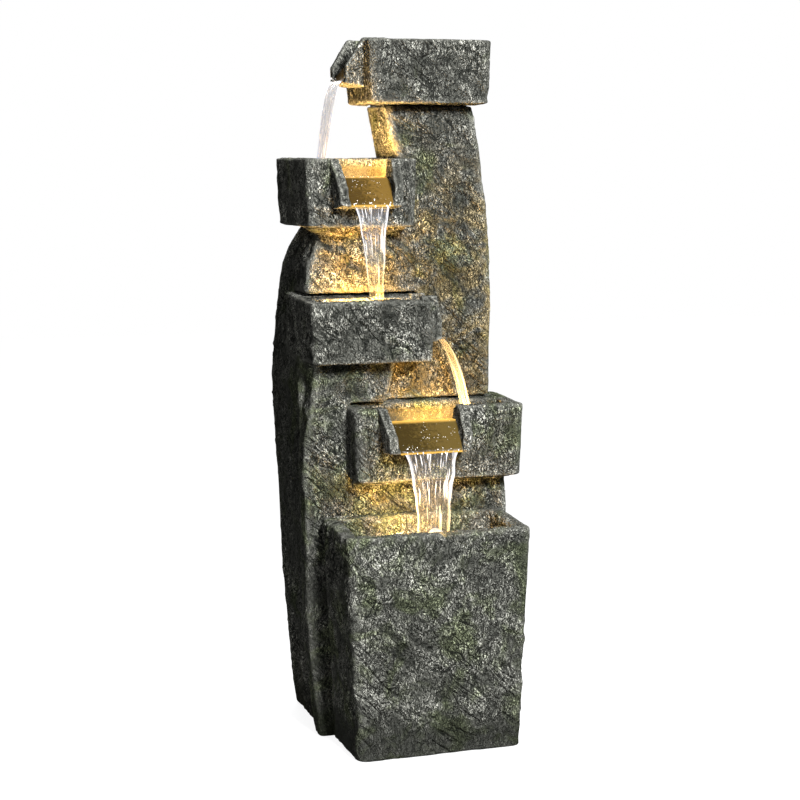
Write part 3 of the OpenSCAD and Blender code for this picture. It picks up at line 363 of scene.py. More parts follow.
def cast_stone(name, bump=0.0030, moss=0.3, ochre=0.0, brushed=1.0, darker_foot_shaded_left=False, warm_lit_inside=False):
    """Dark cast resin with a dry-brushed relief: grooves get painted shade, ridges and rims are pale, and moss
    tints it.

    moss and ochre say how much of it they cover, and brushed how strong the dry brush is. With a darker foot and
    shaded left, the stone darkens towards its foot and gets painted shade on its far left flank. A warm-lit inside
    takes painted warm light, the tint of the lit water.
    """
    material, tree, here = new_material(name)
    relief = stored(tree, "relief")
    edge = stored(tree, "edge")
    tooled = stored(tree, "tooled")
    fine = use_group(tree, chiselled_grain, {"Vector": here, "Grain": STONE_GRAIN})
    place = put(tree, "SeparateXYZ", {"Vector": here}).outputs

    faded = patchy(tree, here, FADED_PATCH, 0.5)
    ridges = between(tree, relief, -0.9, 1.1)
    pale = plus(tree, times(tree, ridges, 0.55 * brushed), 0.48 * brushed)
    pale = times(tree, pale, plus(tree, times(tree, faded, 0.28), 0.80))
    pale = times(tree, fine["Flecks"], times(tree, pale, tooled))
    pale = plus(tree, pale, times(tree, edge, 0.12))

    # Painted shade in the grooves, lighter on rims
    dark = times(tree, fine["Grooves"], from_to(tree, edge, 0.90, 0.35))
    dark = times(tree, dark, tooled)
    # Darker towards the foot, and painted shade on the far left flank, where the left faces lie in shade
    if darker_foot_shaded_left:
        darkening = between(tree, plus(tree, place["Z"], times(tree, relief, 0.010)), *FOOT_DARKENING)
        left_shade = between(tree, place["X"], *SHADED_LEFT_FLANK)
        darkening = larger(tree, darkening, times(tree, left_shade, 0.5))
        pale = times(tree, pale, rest_of(tree, times(tree, darkening, 0.70)))
        dark = larger(tree, dark, times(tree, darkening, 0.55))
    # Painted shade in the relief's deep cuts
    dark = larger(tree, dark, times(tree, between(tree, relief, -1.0, -2.0), 0.75))

    colour = blend_colour(tree, pale, CHARCOAL, DRY_BRUSH)
    mossy = patchy(tree, here, MOSS_PATCH, moss)
    colour = tint_colour(tree, times(tree, mossy, 0.75), colour, MOSS_TINT)
    if ochre:
        rusty = patchy(tree, here, RUST_PATCH, ochre)
        rusty = times(tree, rusty, between(tree, place["Z"], *RUST_HEIGHT))
        rusty = times(tree, rusty, between(tree, place["X"], *RUST_ACROSS))
        colour = tint_colour(tree, times(tree, rusty, 0.80), colour, OCHRE_TINT)
    # Painted shade, and the darkening at the foot, blend the colour towards the crease shade
    colour = blend_colour(tree, dark, colour, CREASE_SHADE)
    # Painted warm light: the calm inside of a bowl takes the golden tint of its lamp's light
    if warm_lit_inside:
        colour = tint_colour(tree, rest_of(tree, tooled), colour, PAINTED_WARM_LIGHT_TINT)

    rough = from_to(tree, fine["Flecks"], 0.60, 0.85)
    normal = bumpy(tree, 1.0, bump, times(tree, fine["Height"], tooled))
    surface(tree, {"Base Color": colour, "Roughness": rough, "Normal": normal, "Specular IOR Level": 0.0})
    return material


def moulded(name, colour, rough, pebble=0.0012, bump=0.00008, mottle=0.25, coat=0.0, metal=0.0, clear=0.0):
    """A moulded or turned fitting: one colour with faint mottling, and the fine pebbling of its mould."""
    material, tree, here = new_material(name)
    skin = use_group(tree, moulded_skin, {"Vector": here, "Size": pebble})
    darker = tuple(c * (1 - mottle) for c in colour[:3]) + (1,)
    tint = blend_colour(tree, skin["Mottle"], darker, colour)
    gloss = from_to(tree, skin["Mottle"], rough, min(rough * 1.35, 1))
    surface(tree, {
        "Base Color": tint, "Roughness": gloss, "Normal": bumpy(tree, 0.6, bump, skin["Height"]),
        "Coat Weight": coat, "Metallic": metal, "Transmission Weight": clear,
    })
    return material


def glowing_lens(name):
    """Frosted warm lens: bright over its lamp, and a little dimmer in its moulded rings."""
    material, tree, here = new_material(name)
    rings = put(tree, "TexWave", {
        "Vector": here, "Scale": 90, "Distortion": 0.4,
    }, wave_type="RINGS", rings_direction="Z").outputs["Fac"]
    glow = blend_colour(tree, rings, LENS_DIM, LENS_BRIGHT)
    surface(tree, {
        "Base Color": glow, "Roughness": 0.25, "Normal": bumpy(tree, 0.3, 0.0004, rings),
        "Emission Color": glow, "Emission Strength": 4.0,
    })
    return material


def falling_water(name, top_tint, low_tint, clear, solid, glow, sparse):
    """Streaked water, with white strands along it and at its edges.

    clear is how much its clear parts hide and solid how much more its strands do. A higher sparse leaves
    fewer strands, and glow is the strength of light painted onto the water as emission, though water is no lamp.
    """
    material, tree, _ = new_material(name)
    across = stored(tree, "across")
    along = stored(tree, "along")
    fallen = stored(tree, "fallen")
    place = put(tree, "CombineXYZ", {
        "X": times(tree, across, 14.0), "Y": times(tree, along, 2.6),
    }).outputs["Vector"]
    strands = between(tree, cloud(tree, place, 1.0, 3, 0.35), sparse, sparse + 0.12)
    edge = between(tree, combine(tree, "ABSOLUTE", across), 0.80, 0.98)
    white = larger(tree, strands, times(tree, edge, 0.60))
    white = times(tree, white, between(tree, fallen, -0.04, 0.08))
    tint = blend_colour(tree, between(tree, fallen, 0.35, 0.95), top_tint, low_tint)
    colour = tint_colour(tree, rest_of(tree, white), tint, CLEAR_TINT)
    # Painted glow: the water gives out light, though it is no lamp
    surface(tree, {
        "Base Color": colour, "Roughness": 0.10, "Alpha": plus(tree, times(tree, white, solid), clear),
        "IOR": WATER_IOR, "Emission Color": colour, "Emission Strength": glow,
    })
    return material


def lit_film(name, shade, gold):
    """Water running down a chute, with the warm light painted into it: painted light bright at the weir, golden
    brown below and more golden to one side, with painted glints and a faint painted glow.
    """
    material, tree, here = new_material(name)
    across = stored(tree, "across")
    along = stored(tree, "along")
    ripple = cloud(tree, here, 240, 2, 0.8)
    drops = put(tree, "TexVoronoi", {"Vector": here, "Scale": 300}).outputs["Distance"]
    some = cloud(tree, here, 75, 1)
    # Painted highlights: glints scattered over the film
    glints = times(tree, between(tree, drops, 0.20, 0.10), between(tree, some, 0.52, 0.64))
    # Painted warm light, bright at the weir and less so at the lip
    weir = between(tree, along, 0.27, 0.15)
    lip = between(tree, along, 0.90, 0.97)
    bright = larger(tree, weir, times(tree, lip, 0.45))
    # Painted light: one side of the film is more golden than the other
    side = plus(tree, times(tree, across, 0.35), ripple)
    body = blend_colour(tree, between(tree, side, 0.3, 0.7), shade, gold)
    colour = blend_colour(tree, bright, body, WEIR_PAINTED_GLOW)
    colour = blend_colour(tree, times(tree, glints, 0.9), colour, FILM_PAINTED_GLINT)
    # The emission is a painted glow
    surface(tree, {
        "Base Color": colour, "Roughness": 0.32, "Normal": bumpy(tree, 0.6, 0.0020, ripple), "Alpha": 0.97,
        "IOR": WATER_IOR, "Specular IOR Level": 0.03, "Emission Color": colour, "Emission Strength": 0.12,
    })
    return material


def bright_bead(name):
    """Small drops, with painted highlights and a faint painted glow, though water is no lamp."""
    material, tree, here = new_material(name)
    # Painted highlights, and emission that paints a glow
    colour = blend_colour(tree, cloud(tree, here, 700, 1), BEAD_GREY, WHITE)
    surface(tree, {
        "Base Color": colour, "Roughness": 0.06, "Alpha": 0.85, "IOR": WATER_IOR,
        "Emission Color": colour, "Emission Strength": 0.35,
    })
    return material


def still_water(name):
    """The pools: clear water with painted glints of light on its ripples."""
    material, tree, here = new_material(name)
    ripple = cloud(tree, here, 70, 2, 1.2)
    # Painted highlights where the ripples rise
    glint = between(tree, ripple, 0.58, 0.74)
    surface(tree, {
        "Base Color": blend_colour(tree, glint, POOL_DEEP, POOL_PAINTED_GLINT), "Roughness": 0.04,
        "Normal": bumpy(tree, 0.6, 0.0015, ripple), "Alpha": plus(tree, times(tree, glint, 0.22), 0.14),
        "IOR": WATER_IOR,
    })
    return material


stone_column = cast_stone("column stone", moss=0.34, ochre=0.58, brushed=0.83, darker_foot_shaded_left=True)
stone_pier = cast_stone("pier stone", moss=0.46, ochre=0.24, darker_foot_shaded_left=True)
stone_basin = cast_stone("basin stone", moss=0.44, darker_foot_shaded_left=True)
stone_bowl = cast_stone("bowl stone", moss=0.20, brushed=0.97, warm_lit_inside=True)
stone_third_bowl = cast_stone("third bowl stone", moss=0.18, brushed=1.25, warm_lit_inside=True)
stone_low_bowl = cast_stone("low bowl stone", moss=0.40, warm_lit_inside=True)
stone_chute = cast_stone("chute stone", bump=0.0020, moss=0.10)
stone_back = cast_stone("back stone", bump=0.0016, moss=0.15, darker_foot_shaded_left=True)

SLOT_MATERIALS = {
    "foam": moulded("foam tape", (0.030, 0.030, 0.030, 1), 0.95, pebble=0.0020, bump=0.0004),
    "steel": moulded("stainless steel", (0.60, 0.60, 0.59, 1), 0.30, pebble=0.0006, bump=0.00003, metal=1.0),
    "seal_rubber": moulded("seal rubber", (0.028, 0.028, 0.029, 1), 0.72),
    "door_plastic": moulded(
        "door plastic", (0.085, 0.088, 0.080, 1), 0.62, pebble=0.0016, bump=0.0003, mottle=0.4
    ),
    "pump_black": moulded("pump housing", (0.022, 0.023, 0.026, 1), 0.36, coat=0.1),
    "strainer_grey": moulded("dark grey plastic", (0.075, 0.078, 0.082, 1), 0.48),
    "dial_grey": moulded("dial plastic", (0.34, 0.35, 0.36, 1), 0.45),
    "rotor_white": moulded("rotor plastic", (0.78, 0.78, 0.76, 1), 0.40),
    "ceramic": moulded("ceramic shaft", (0.86, 0.85, 0.81, 1), 0.16, coat=0.4),
    "riser_pvc": moulded("clear tube", (0.70, 0.74, 0.75, 1), 0.14, mottle=0.1, clear=0.55),
    "elbow_pvc": moulded("grey fitting", (0.42, 0.43, 0.44, 1), 0.38),
    "fitting_black": moulded("black fitting", (0.026, 0.026, 0.028, 1), 0.42),
    "light_black": moulded("lamp housing", (0.024, 0.024, 0.025, 1), 0.50),
    "light_lens": glowing_lens("lamp lens"),
    "lead_jacket": moulded("lead jacket", (0.025, 0.025, 0.026, 1), 0.55),
}
# The warm tints of the lower streams and their glow are painted light of the fountain's lamps
high_stream = falling_water(
    "high stream", (0.84, 0.88, 1.0, 1), (0.74, 0.80, 1.0, 1), clear=0.46, solid=0.62, glow=0.16, sparse=0.53
)
clear_stream = falling_water(
    "clear stream", (0.84, 0.86, 0.92, 1), (0.86, 0.66, 0.30, 1), clear=0.05, solid=0.46, glow=0.12, sparse=0.55
)
low_stream = falling_water(
    "low stream", (0.80, 0.82, 0.88, 1), (0.66, 0.53, 0.30, 1), clear=0.03, solid=0.52, glow=0.06, sparse=0.55
)
gold_stream = falling_water(
    "golden stream", (0.90, 0.83, 0.66, 1), (0.98, 0.90, 0.70, 1), clear=0.20, solid=0.60, glow=0.14, sparse=0.53
)
high_film = lit_film("high chute film", (0.034, 0.020, 0.004, 1), (0.088, 0.052, 0.011, 1))
low_film = lit_film("low chute film", (0.024, 0.016, 0.004, 1), (0.058, 0.039, 0.010, 1))
pool_water = still_water("pool water")
bead_water = bright_bead("water beads")


# Cast stone pieces

def sharp_noise(place):
    """Noise with sharp crests, about -1 to 1."""
    roughness, gap, octaves, offset, gain = 0.9, 2.1, 2, 1.0, 2.0
    return (noise.ridged_multi_fractal(place, roughness, gap, octaves, offset, gain) - 1.0) / 0.7


def noise_relief(point, seed, slant):
    """Relief at a point, as (how far out it stands, how it is painted: pale on ridges, painted shade in cuts), each
    about -1 to 1.
    """
    bent = point + 0.035 * noise.noise_vector(point * 5 + seed) + 0.008 * noise.noise_vector(point * 30 + seed)
    along = slant @ bent
    swell = noise.noise(bent * SWELLS + seed)
    fold = sharp_noise(along * FOLDS - seed)
    ridge = sharp_noise(along * RIDGES + seed)
    # Ridges are bolder in some places, and cuts come in groups
    ridge *= min(max(0.85 + 1.8 * noise.noise(point * 8 + seed), 0.35), 1.4)
    lumps = noise.noise(bent * LUMPS + seed)
    cut = max(0.0, 1 - abs(noise.noise(along * CUTS + seed * 2)) / 0.07)
    cut *= min(max(noise.noise(bent * 15 - seed) * 5, 0), 1)
    out = 0.45 * swell + 0.3 * fold + 1.1 * ridge + 0.15 * lumps - 0.7 * cut
    return out, 0.2 * fold + 1.2 * ridge + 0.4 * lumps - 1.5 * cut


def rim_measure(mesh, points, normals, voxel):
    """How far each point stands on an outer edge, from 0 on the flats and in hollows to 1 on a rim."""
    count = len(points)
    ends = np.empty(len(mesh.edges) * 2, np.int32)
    mesh.edges.foreach_get("vertices", ends)
    ends = ends.reshape(-1, 2)
    degree = np.maximum(np.bincount(ends.ravel(), minlength=count), 1)

    def neighbour_mean(values):
        total = np.bincount(ends[:, 0], weights=values[ends[:, 1]], minlength=count)
        total += np.bincount(ends[:, 1], weights=values[ends[:, 0]], minlength=count)
        return total / degree

    middle = np.stack([neighbour_mean(points[:, axis].astype(float)) for axis in range(3)], axis=1)
    bulge = ((points - middle) * normals).sum(axis=1) / voxel
    for _ in range(RIM_BLUR):
        bulge = (bulge + neighbour_mean(bulge)) / 2
    return np.clip(bulge / FULL_RIM, 0, 1)


def share_kept(point, calm, margin):
    """How much of the relief is left at a point, from boxes of (low, high, share) that fade out over a margin."""
    kept = 1.0
    for low, high, share in calm:
        outside = max(max(low[i] - point[i], point[i] - high[i]) for i in range(3))
        if outside < margin:
            fade = min(max(outside / margin, 0), 1)
            kept = min(kept, share + (1 - share) * fade)
    return kept


def even_skin(node, voxel, rounding):
    """A new piece from a solid, with even faces of about that size, its edges rounded by that many passes."""
    piece = bpy.data.objects.new(node + "_stone", frame["nodes"][node].data.copy())
    collection.objects.link(piece)
    remesh = piece.modifiers.new("even faces", "REMESH")
    remesh.mode = "VOXEL"
    remesh.voxel_size = voxel
    smooth = piece.modifiers.new("rounded edges", "SMOOTH")
    smooth.factor = 0.5
    smooth.iterations = rounding
    bpy.context.view_layer.update()
    mesh = bpy.data.meshes.new_from_object(piece.evaluated_get(bpy.context.evaluated_depsgraph_get()))
    piece.modifiers.clear()
    piece.data = mesh
    return piece


def store(mesh, name, values):
    """Keeps one value for each point of a mesh, for its material."""
    mesh.attributes.new(name, "FLOAT", "POINT").data.foreach_set("value", values)


def carve(node, material, voxel, rounding, depth, seed, slant_degrees=35, swelling=0.001,
          lift=0.0, drop=0.0, sag=0.0, aside=0.0, calm=()):
    """The skin of a casting: its solid, evenly remeshed, with rounded edges and a carved relief.

    Its sides may swell, its rim may stand higher by lift and its underside hang lower by drop, the front of its rim
    may sag, and it may stand aside along X.
    """
    piece = even_skin(node, voxel, rounding)
    mesh = piece.data
    count = len(mesh.vertices)
    points = np.empty(count * 3, np.float32)
    normals = np.empty(count * 3, np.float32)
    mesh.vertices.foreach_get("co", points)
    mesh.vertex_normals.foreach_get("vector", normals)
    points = points.reshape(-1, 3)
    normals = normals.reshape(-1, 3)
    rims = rim_measure(mesh, points, normals, voxel)

    # Rounding shrinks the skin a little, so it is brought back to the solid's box
    low, high = (np.array(corner) for corner in boxes[node])
    points = low + (points - points.min(axis=0)) / np.ptp(points, axis=0) * (high - low)

    slant = Matrix.Diagonal((1.0, 1.0, STROKE_SHARE)) @ Matrix.Rotation(math.radians(slant_degrees), 3, "Y")
    offset = Vector((seed, seed * 0.7, seed * 1.3))
    relief = np.array([noise_relief(Vector(p), offset, slant) for p in points])
    heights = np.clip(relief[:, 0], *RELIEF_RANGE)
    margin = 2.5 * voxel if voxel > 0.002 else 0.002
    tooled = np.array([share_kept(p, calm, margin) for p in points]) if calm else np.ones(count)
    kept = tooled * (1 - RIM_WEAR * rims)
    points += normals * (heights * kept * depth)[:, None]
    points[:, :2] += normals[:, :2] * (swelling * tooled)[:, None]

    near_top = np.clip((points[:, 2] - high[2] + RIM_BAND) / RIM_FADE, 0, 1) ** 2
    near_front = np.clip((high[1] - points[:, 1]) / (high[1] - low[1]) * SAG_SLOPE - SAG_START, 0, 1)
    points[:, 2] += (lift - sag * near_front) * near_top
    points[:, 2] -= drop * np.clip((low[2] + DROP_BAND - points[:, 2]) / DROP_BAND, 0, 1)
    points[:, 0] += aside
    points[:, 2] -= np.clip((FOOT_BAND - points[:, 2]) / FOOT_BAND, 0, 1) * FOOT_DROP
    points[:, 2] = np.maximum(points[:, 2], FLOOR_REST)

    mesh.vertices.foreach_set("co", points.ravel())
    store(mesh, "relief", (relief[:, 1] * kept).astype(np.float32))
    store(mesh, "edge", rims.astype(np.float32))
    store(mesh, "tooled", tooled.astype(np.float32))
    mesh.materials.clear()
    mesh.materials.append(material)
    mesh.shade_smooth()
    mesh.update()
    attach(piece, BODY)
    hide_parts(node)


def grown(box, by):
    """A box as (low, high), larger by that much all round."""
    low, high = box
    return [c - by for c in low], [c + by for c in high]


def inside_of(node, wall, floor):
    """The hollow of a bowl or basin, up to just under its rim, where the relief is calmer."""
    low, high = boxes[node]
    top = high[2] - CALM_BELOW_RIM
    return [low[0] + wall, low[1] + wall, low[2] + floor], [high[0] - wall, high[1] - wall, top]


def bowl_calm(node):
    """A bowl's inside is almost smooth."""
    return [(*inside_of(node, 0.012, 0.008), 0.25)]


door_zone = grown(boxes["access_door"], 0.012)
outlet_zone = grown(boxes["cord_grommet"], 0.004)
drain_zone = grown(boxes["drain_plug"], 0.010)
basin_low, basin_high = boxes["basin"]
right_side = (basin_high.x - 0.003, basin_low.y, 0.030), (basin_high.x + 0.006, basin_high.y, basin_high.z)

carve(
    "column", stone_column, voxel=0.0036, rounding=3, depth=0.0036, seed=3.1, slant_degrees=42, swelling=0.0030
)
carve(
    "back_panel", stone_back, voxel=0.0034, rounding=1, depth=0.0009, seed=5.7, swelling=0.0,
    calm=[(*door_zone, 0.1), (*outlet_zone, 0.1)],
)
carve("pier", stone_pier, voxel=0.0029, rounding=5, depth=0.0034, seed=8.3, swelling=0.0026)
carve(
    "basin", stone_basin, voxel=0.0029, rounding=18, depth=0.0034, seed=12.9, slant_degrees=50, swelling=0.0020,
    sag=0.0060, aside=0.0035,
    calm=[(*inside_of("basin", 0.014, 0.010), 0.8), (*drain_zone, 0.1), (*right_side, 0.45)],
)
carve(
    "top_bowl", stone_bowl, voxel=0.0024, rounding=4, depth=0.0020, seed=17.2, swelling=0.0026,
    lift=0.0015, drop=0.0015, calm=bowl_calm("top_bowl"),
)
carve(
    "second_bowl", stone_bowl, voxel=0.0024, rounding=4, depth=0.0020, seed=21.4, swelling=0.0022,
    lift=0.0040, calm=bowl_calm("second_bowl"),
)
carve(
    "third_bowl", stone_third_bowl, voxel=0.0024, rounding=4, depth=0.0020, seed=26.8, swelling=0.0014,
    drop=0.0045, sag=0.0055, calm=bowl_calm("third_bowl"),
)
carve(
    "fourth_bowl", stone_low_bowl, voxel=0.0026, rounding=8, depth=0.0020, seed=31.5, swelling=0.0030,
    sag=0.0030, calm=bowl_calm("fourth_bowl"),
)

# Each chute has the axis across its trough, and the trough's width, which stays smooth
for chute, axis, trough, seed, lift, aside in (
    ("top_chute", 1, 0.052, 36.5, 0.0035, 0.0025), ("second_chute", 0, 0.064, 40.5, 0.0030, 0.0),
    ("third_chute", 1, 0.030, 44.5, 0.0, -0.0035), ("fourth_chute", 0, 0.094, 48.5, -0.0020, 0.0),
):
    low, high = (Vector(corner) for corner in boxes[chute])
    middle = (low[axis] + high[axis]) / 2
    low[axis] = middle - trough / 2
    high[axis] = middle + trough / 2
    carve(
        chute, stone_chute, voxel=0.0015, rounding=3, depth=0.0014, seed=seed,
        swelling=0.0006, lift=lift, aside=aside, calm=[(low, high, 0.0)],
    )


# Fittings keep their solids and get their finishes

slot_of = {part["node"]: part["material_slot"] for part in frame["record"]["subparts"]}
for name, piece in frame["nodes"].items():
    if slot_of[name] in SLOT_MATERIALS:
        piece.data.materials.clear()
        piece.data.materials.append(SLOT_MATERIALS[slot_of[name]])


# Water

def add_water(name, mesh, material):
    """Gives a mesh of water its material and its place on the fountain."""
    mesh.materials.append(material)
    mesh.shade_smooth()
    piece = bpy.data.objects.new(name, mesh)
    collection.objects.link(piece)
    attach(piece, BODY)


def mesh_of(name, points, faces, **values):
    mesh = bpy.data.meshes.new(name)
    mesh.from_pydata(points, [], faces)
    for value_name, numbers in values.items():
        store(mesh, value_name, numbers)
    return mesh


def grid_faces(columns, rows, first=0, flip=False):
    """Quads of a grid whose points run along its columns first."""
    faces = []
    for row in range(rows - 1):
        for column in range(columns - 1):
            corner = first + row * columns + column
            face = (corner, corner + 1, corner + columns + 1, corner + columns)
            faces.append(face[::-1] if flip else face)
    return faces


def pool_level(rim_z):
    return rim_z - WEIR_DROP + WATER_OVER_WEIR


def fill_pool(name, node, inset, level, landing, has_heel=False):
    """A pool's surface, reaching a little into the walls, with rings spreading from where the water lands.

    The walls end by inset inside the bowl's box. A bowl with a heel in the column has a back wall in front of it,
    and its pool ends there.
    """
    low, high = boxes[node]
    into = inset - WATER_INTO_WALL
    left, right = low[0] + into, high[0] - into
    front, back = low[1] + into, high[1] - into
    if has_heel:
        # The pier's back lies where the column's front is
        back = boxes["pier"][1].y - POOL_BACK_WALL + WATER_INTO_WALL
    columns = int((right - left) / POOL_CELL) + 2
    rows = int((back - front) / POOL_CELL) + 2
    points = []
    for y in np.linspace(front, back, rows):
        for x in np.linspace(left, right, columns):
            away = math.hypot(x - landing[0], y - landing[1])
            rings = 0.0011 * math.cos(away * 620) * math.exp(-away * 34)
            swell = 0.0006 * noise.noise(Vector((x * 60, y * 60, level)))
            points.append((x, y, level + rings + swell))
    add_water(name, mesh_of(name, points, grid_faces(columns, rows)), pool_water)


class Spill:
    """One chute's water: where its lip is, which way it looks, and how its stream falls.

    rim is the middle of the bowl's rim over the weir. mouth and lip_mouth are the ramp's widths at the weir and at
    the lip, which lies out by reach. The stream leaves it at that speed, strays sideways by sway, and is narrowed
    to that share of its width when it lands.
    """

    def __init__(self, rim, outward, mouth, lip_mouth, reach, speed, sway, land_z, narrowed):
        self.rim = Vector(rim)
        self.outward = Vector(outward)
        self.across = Vector((-outward[1], outward[0], 0))
        self.half_mouth = mouth / 2
        self.half_lip = lip_mouth / 2
        self.reach = reach + LIP_PROUD
        self.speed = speed
        self.sway = sway
        self.land_z = land_z
        self.narrowed = narrowed
        self.lip_z = self.rim.z - LIP_DROP + LIP_THICKNESS + FILM_THICKNESS

    def on_ramp(self, share):
        """The film's middle, height and half width, from behind the weir (0) to the lip (1)."""
        weir_z = pool_level(self.rim.z)
        out = FILM_START + (self.reach - FILM_START) * share
        slope = min(max(out / self.reach, 0), 1)
        half = self.half_mouth + (self.half_lip - self.half_mouth) * slope
        return self.rim + self.outward * out, weir_z + (self.lip_z - weir_z) * slope, half - CHEEK_GAP

    def in_the_air(self, share):
        """The stream's middle, height and half width, from the lip (0) to where it lands (1)."""
        whole = math.sqrt(2 * (self.lip_z - self.land_z) / GRAVITY)
        drop = (self.lip_z - self.land_z) * share ** 1.3
        part = math.sqrt(2 * drop / GRAVITY) / whole
        half = (self.half_lip - CHEEK_GAP) * (1 - (1 - self.narrowed) * part ** 0.8)
        flown = self.reach + self.speed * part * whole
        place = self.rim + self.outward * flown + self.across * (self.sway * part ** 1.5)
        return place, self.lip_z - drop, half

    def landing(self):
        return self.in_the_air(1.0)[0]


def run_down(name, spill, material):
    """The thin film on a chute's ramp, from the pool over the weir to the lip, and curling a little over it."""
    columns = 25
    rows = 30
    curl = 4
    curl_out = 0.0012
    curl_down = 0.0050
    points = []
    across_values = []
    along_values = []
    for row in range(rows):
        share = row / (rows - 1 - curl)
        middle, z, half = spill.on_ramp(min(share, 1.0))
        over = max(share - 1, 0) * (rows - 1 - curl) / curl
        middle = middle + spill.outward * (curl_out * math.sin(over * math.pi / 2))
        z -= curl_down * over
        for column in range(columns):
            u = 2 * column / (columns - 1) - 1
            place = middle + spill.across * (u * half)
            ripple = 0.0005 * noise.noise(Vector((place.x * 160, place.y * 160, z * 90)))
            points.append((place.x, place.y, z + ripple))
            across_values.append(u)
            along_values.append(row / (rows - 1))
    mesh = mesh_of(name, points, grid_faces(columns, rows), across=across_values, along=along_values)
    add_water(name, mesh, material)


def pour(name, spill, material, seed, hollowed=0.0, body=1.0):
    """A falling stream: two skins of water, rippled into strands.

    hollowed bows its middle back and makes its edges thicker, and body makes all of it thicker.
    """
    columns = 49
    rows = 110
    thickness = 0.0022
    strand_out = 0.0020
    bow_back = 0.006
    strand_length = 0.12
    points = []
    across_values = []
    along_values = []
    fallen_values = []
    for side in (1, -1):
        for row in range(rows):
            share = row / (rows - 1)
            middle, z, half = spill.in_the_air(share)
            for column in range(columns):
                u = 2 * column / (columns - 1) - 1
                strand = noise.noise(Vector((u * 6.5 + seed, share * 3, seed)))
                fringe = 0.10 * noise.noise(Vector((share * 7, seed, u * 1.5))) * min(share * 3, 1)
                rope = 0.6 + hollowed * u * u
                thick = thickness * body * rope * (1 + 0.7 * strand)
                thick = thick * math.sqrt(max(1 - u * u, 0.02)) * (0.25 + share)
                bow = -hollowed * bow_back * (1 - u * u) * share
                place = middle + spill.across * (u * half * (1 + fringe))
                place = place + spill.outward * (strand_out * share * strand + side * thick + bow)
                points.append((place.x, place.y, z))
                across_values.append(u)
                along_values.append(share * (spill.lip_z - spill.land_z) / strand_length)
                fallen_values.append(share)
    faces = grid_faces(columns, rows) + grid_faces(columns, rows, columns * rows, flip=True)
    mesh = mesh_of(name, points, faces, across=across_values, along=along_values, fallen=fallen_values)
    add_water(name, mesh, material)


# Where beads jump: how far the water has fallen, the spread in half widths, and how far out and up they are
LIP_BEADS = {"fallen": 0.0, "spread": 0.95, "out": (-0.001, 0.004), "up": (-0.006, 0.005)}
LANDING_BEADS = {"fallen": 0.97, "spread": 1.5, "out": (-0.012, 0.012), "up": (0.001, 0.012)}


def spray(name, spill, seed):
    """Beads of water that jump, by turns, at the lip and where the stream lands."""
    chance = random.Random(seed)
    beads = bmesh.new()
    for number in range(BEADS):
        zone, base_z = (LIP_BEADS, spill.lip_z) if number % 2 == 0 else (LANDING_BEADS, spill.land_z)
        middle, _, half = spill.in_the_air(zone["fallen"])
        wide = half * zone["spread"]
        place = middle + spill.across * chance.uniform(-wide, wide)
        place = place + spill.outward * chance.uniform(*zone["out"])
        place.z = base_z + chance.uniform(*zone["up"])
        radius = chance.uniform(*BEAD_RADIUS)
        size = Matrix.Diagonal((radius, radius, radius * chance.uniform(*BEAD_STRETCH), 1))
        bmesh.ops.create_icosphere(beads, subdivisions=2, radius=1.0, matrix=Matrix.Translation(place) @ size)
    mesh = bpy.data.meshes.new(name)
    beads.to_mesh(mesh)
    beads.free()
    add_water(name, mesh, bead_water)


def chute_middle(node, axis):
    low, high = boxes[node]
    return (low[axis] + high[axis]) / 2


top_low, top_high = boxes["top_bowl"]
second_low, second_high = boxes["second_bowl"]
third_high = boxes["third_bowl"][1]
fourth_low, fourth_high = boxes["fourth_bowl"]
top_level = pool_level(top_high.z)
second_level = pool_level(second_high.z)
third_level = pool_level(third_high.z)
fourth_level = pool_level(fourth_high.z)

top_spill = Spill(
    rim=(top_low.x, chute_middle("top_chute", 1), top_high.z), outward=(-1, 0, 0), mouth=0.064, lip_mouth=0.062,
    reach=0.0285, speed=0.165, sway=0.0, land_z=second_level, narrowed=0.80,
)
second_spill = Spill(
    rim=(chute_middle("second_chute", 0), second_low.y, second_high.z), outward=(0, -1, 0), mouth=0.077,
    lip_mouth=0.064, reach=0.036, speed=-0.085, sway=0.012, land_z=third_level, narrowed=0.30,
)
third_spill = Spill(
    rim=(third_high.x, chute_middle("third_chute", 1), third_high.z), outward=(1, 0, 0), mouth=0.040,
    lip_mouth=0.033, reach=0.005, speed=0.368, sway=0.0, land_z=fourth_level, narrowed=1.30,
)
fourth_spill = Spill(
    rim=(chute_middle("fourth_chute", 0), fourth_low.y, fourth_high.z), outward=(0, -1, 0), mouth=0.108,
    lip_mouth=0.094, reach=0.040, speed=0.02, sway=0.002, land_z=BASIN_LEVEL, narrowed=0.46,
)

for level, spill, film in (
    ("top", top_spill, high_film), ("second", second_spill, high_film),
    ("third", third_spill, high_film), ("fourth", fourth_spill, low_film),
):
    run_down(level + "_film", spill, film)
    spray(level + "_spray", spill, seed=level)
pour("top_stream", top_spill, high_stream, seed=1.7, hollowed=0.3)
pour("second_stream", second_spill, clear_stream, seed=4.2, hollowed=1.2)
pour("third_stream", third_spill, gold_stream, seed=7.9, hollowed=0.8, body=1.6)
pour("fourth_stream", fourth_spill, low_stream, seed=11.3, hollowed=0.8)

inlet_low, inlet_high = boxes["inlet_fitting"]
inlet_middle = (inlet_low + inlet_high) / 2
fill_pool("top_pool_water", "top_bowl", BOWL_WALL, top_level, inlet_middle)
fill_pool("second_pool_water", "second_bowl", BOWL_WALL, second_level, top_spill.landing())
fill_pool("third_pool_water", "third_bowl", BOWL_WALL, third_level, second_spill.landing(), has_heel=True)
fill_pool("fourth_pool_water", "fourth_bowl", BOWL_WALL, fourth_level, third_spill.landing(), has_heel=True)
fill_pool("basin_water", "basin", BASIN_INSET, BASIN_LEVEL, fourth_spill.landing())


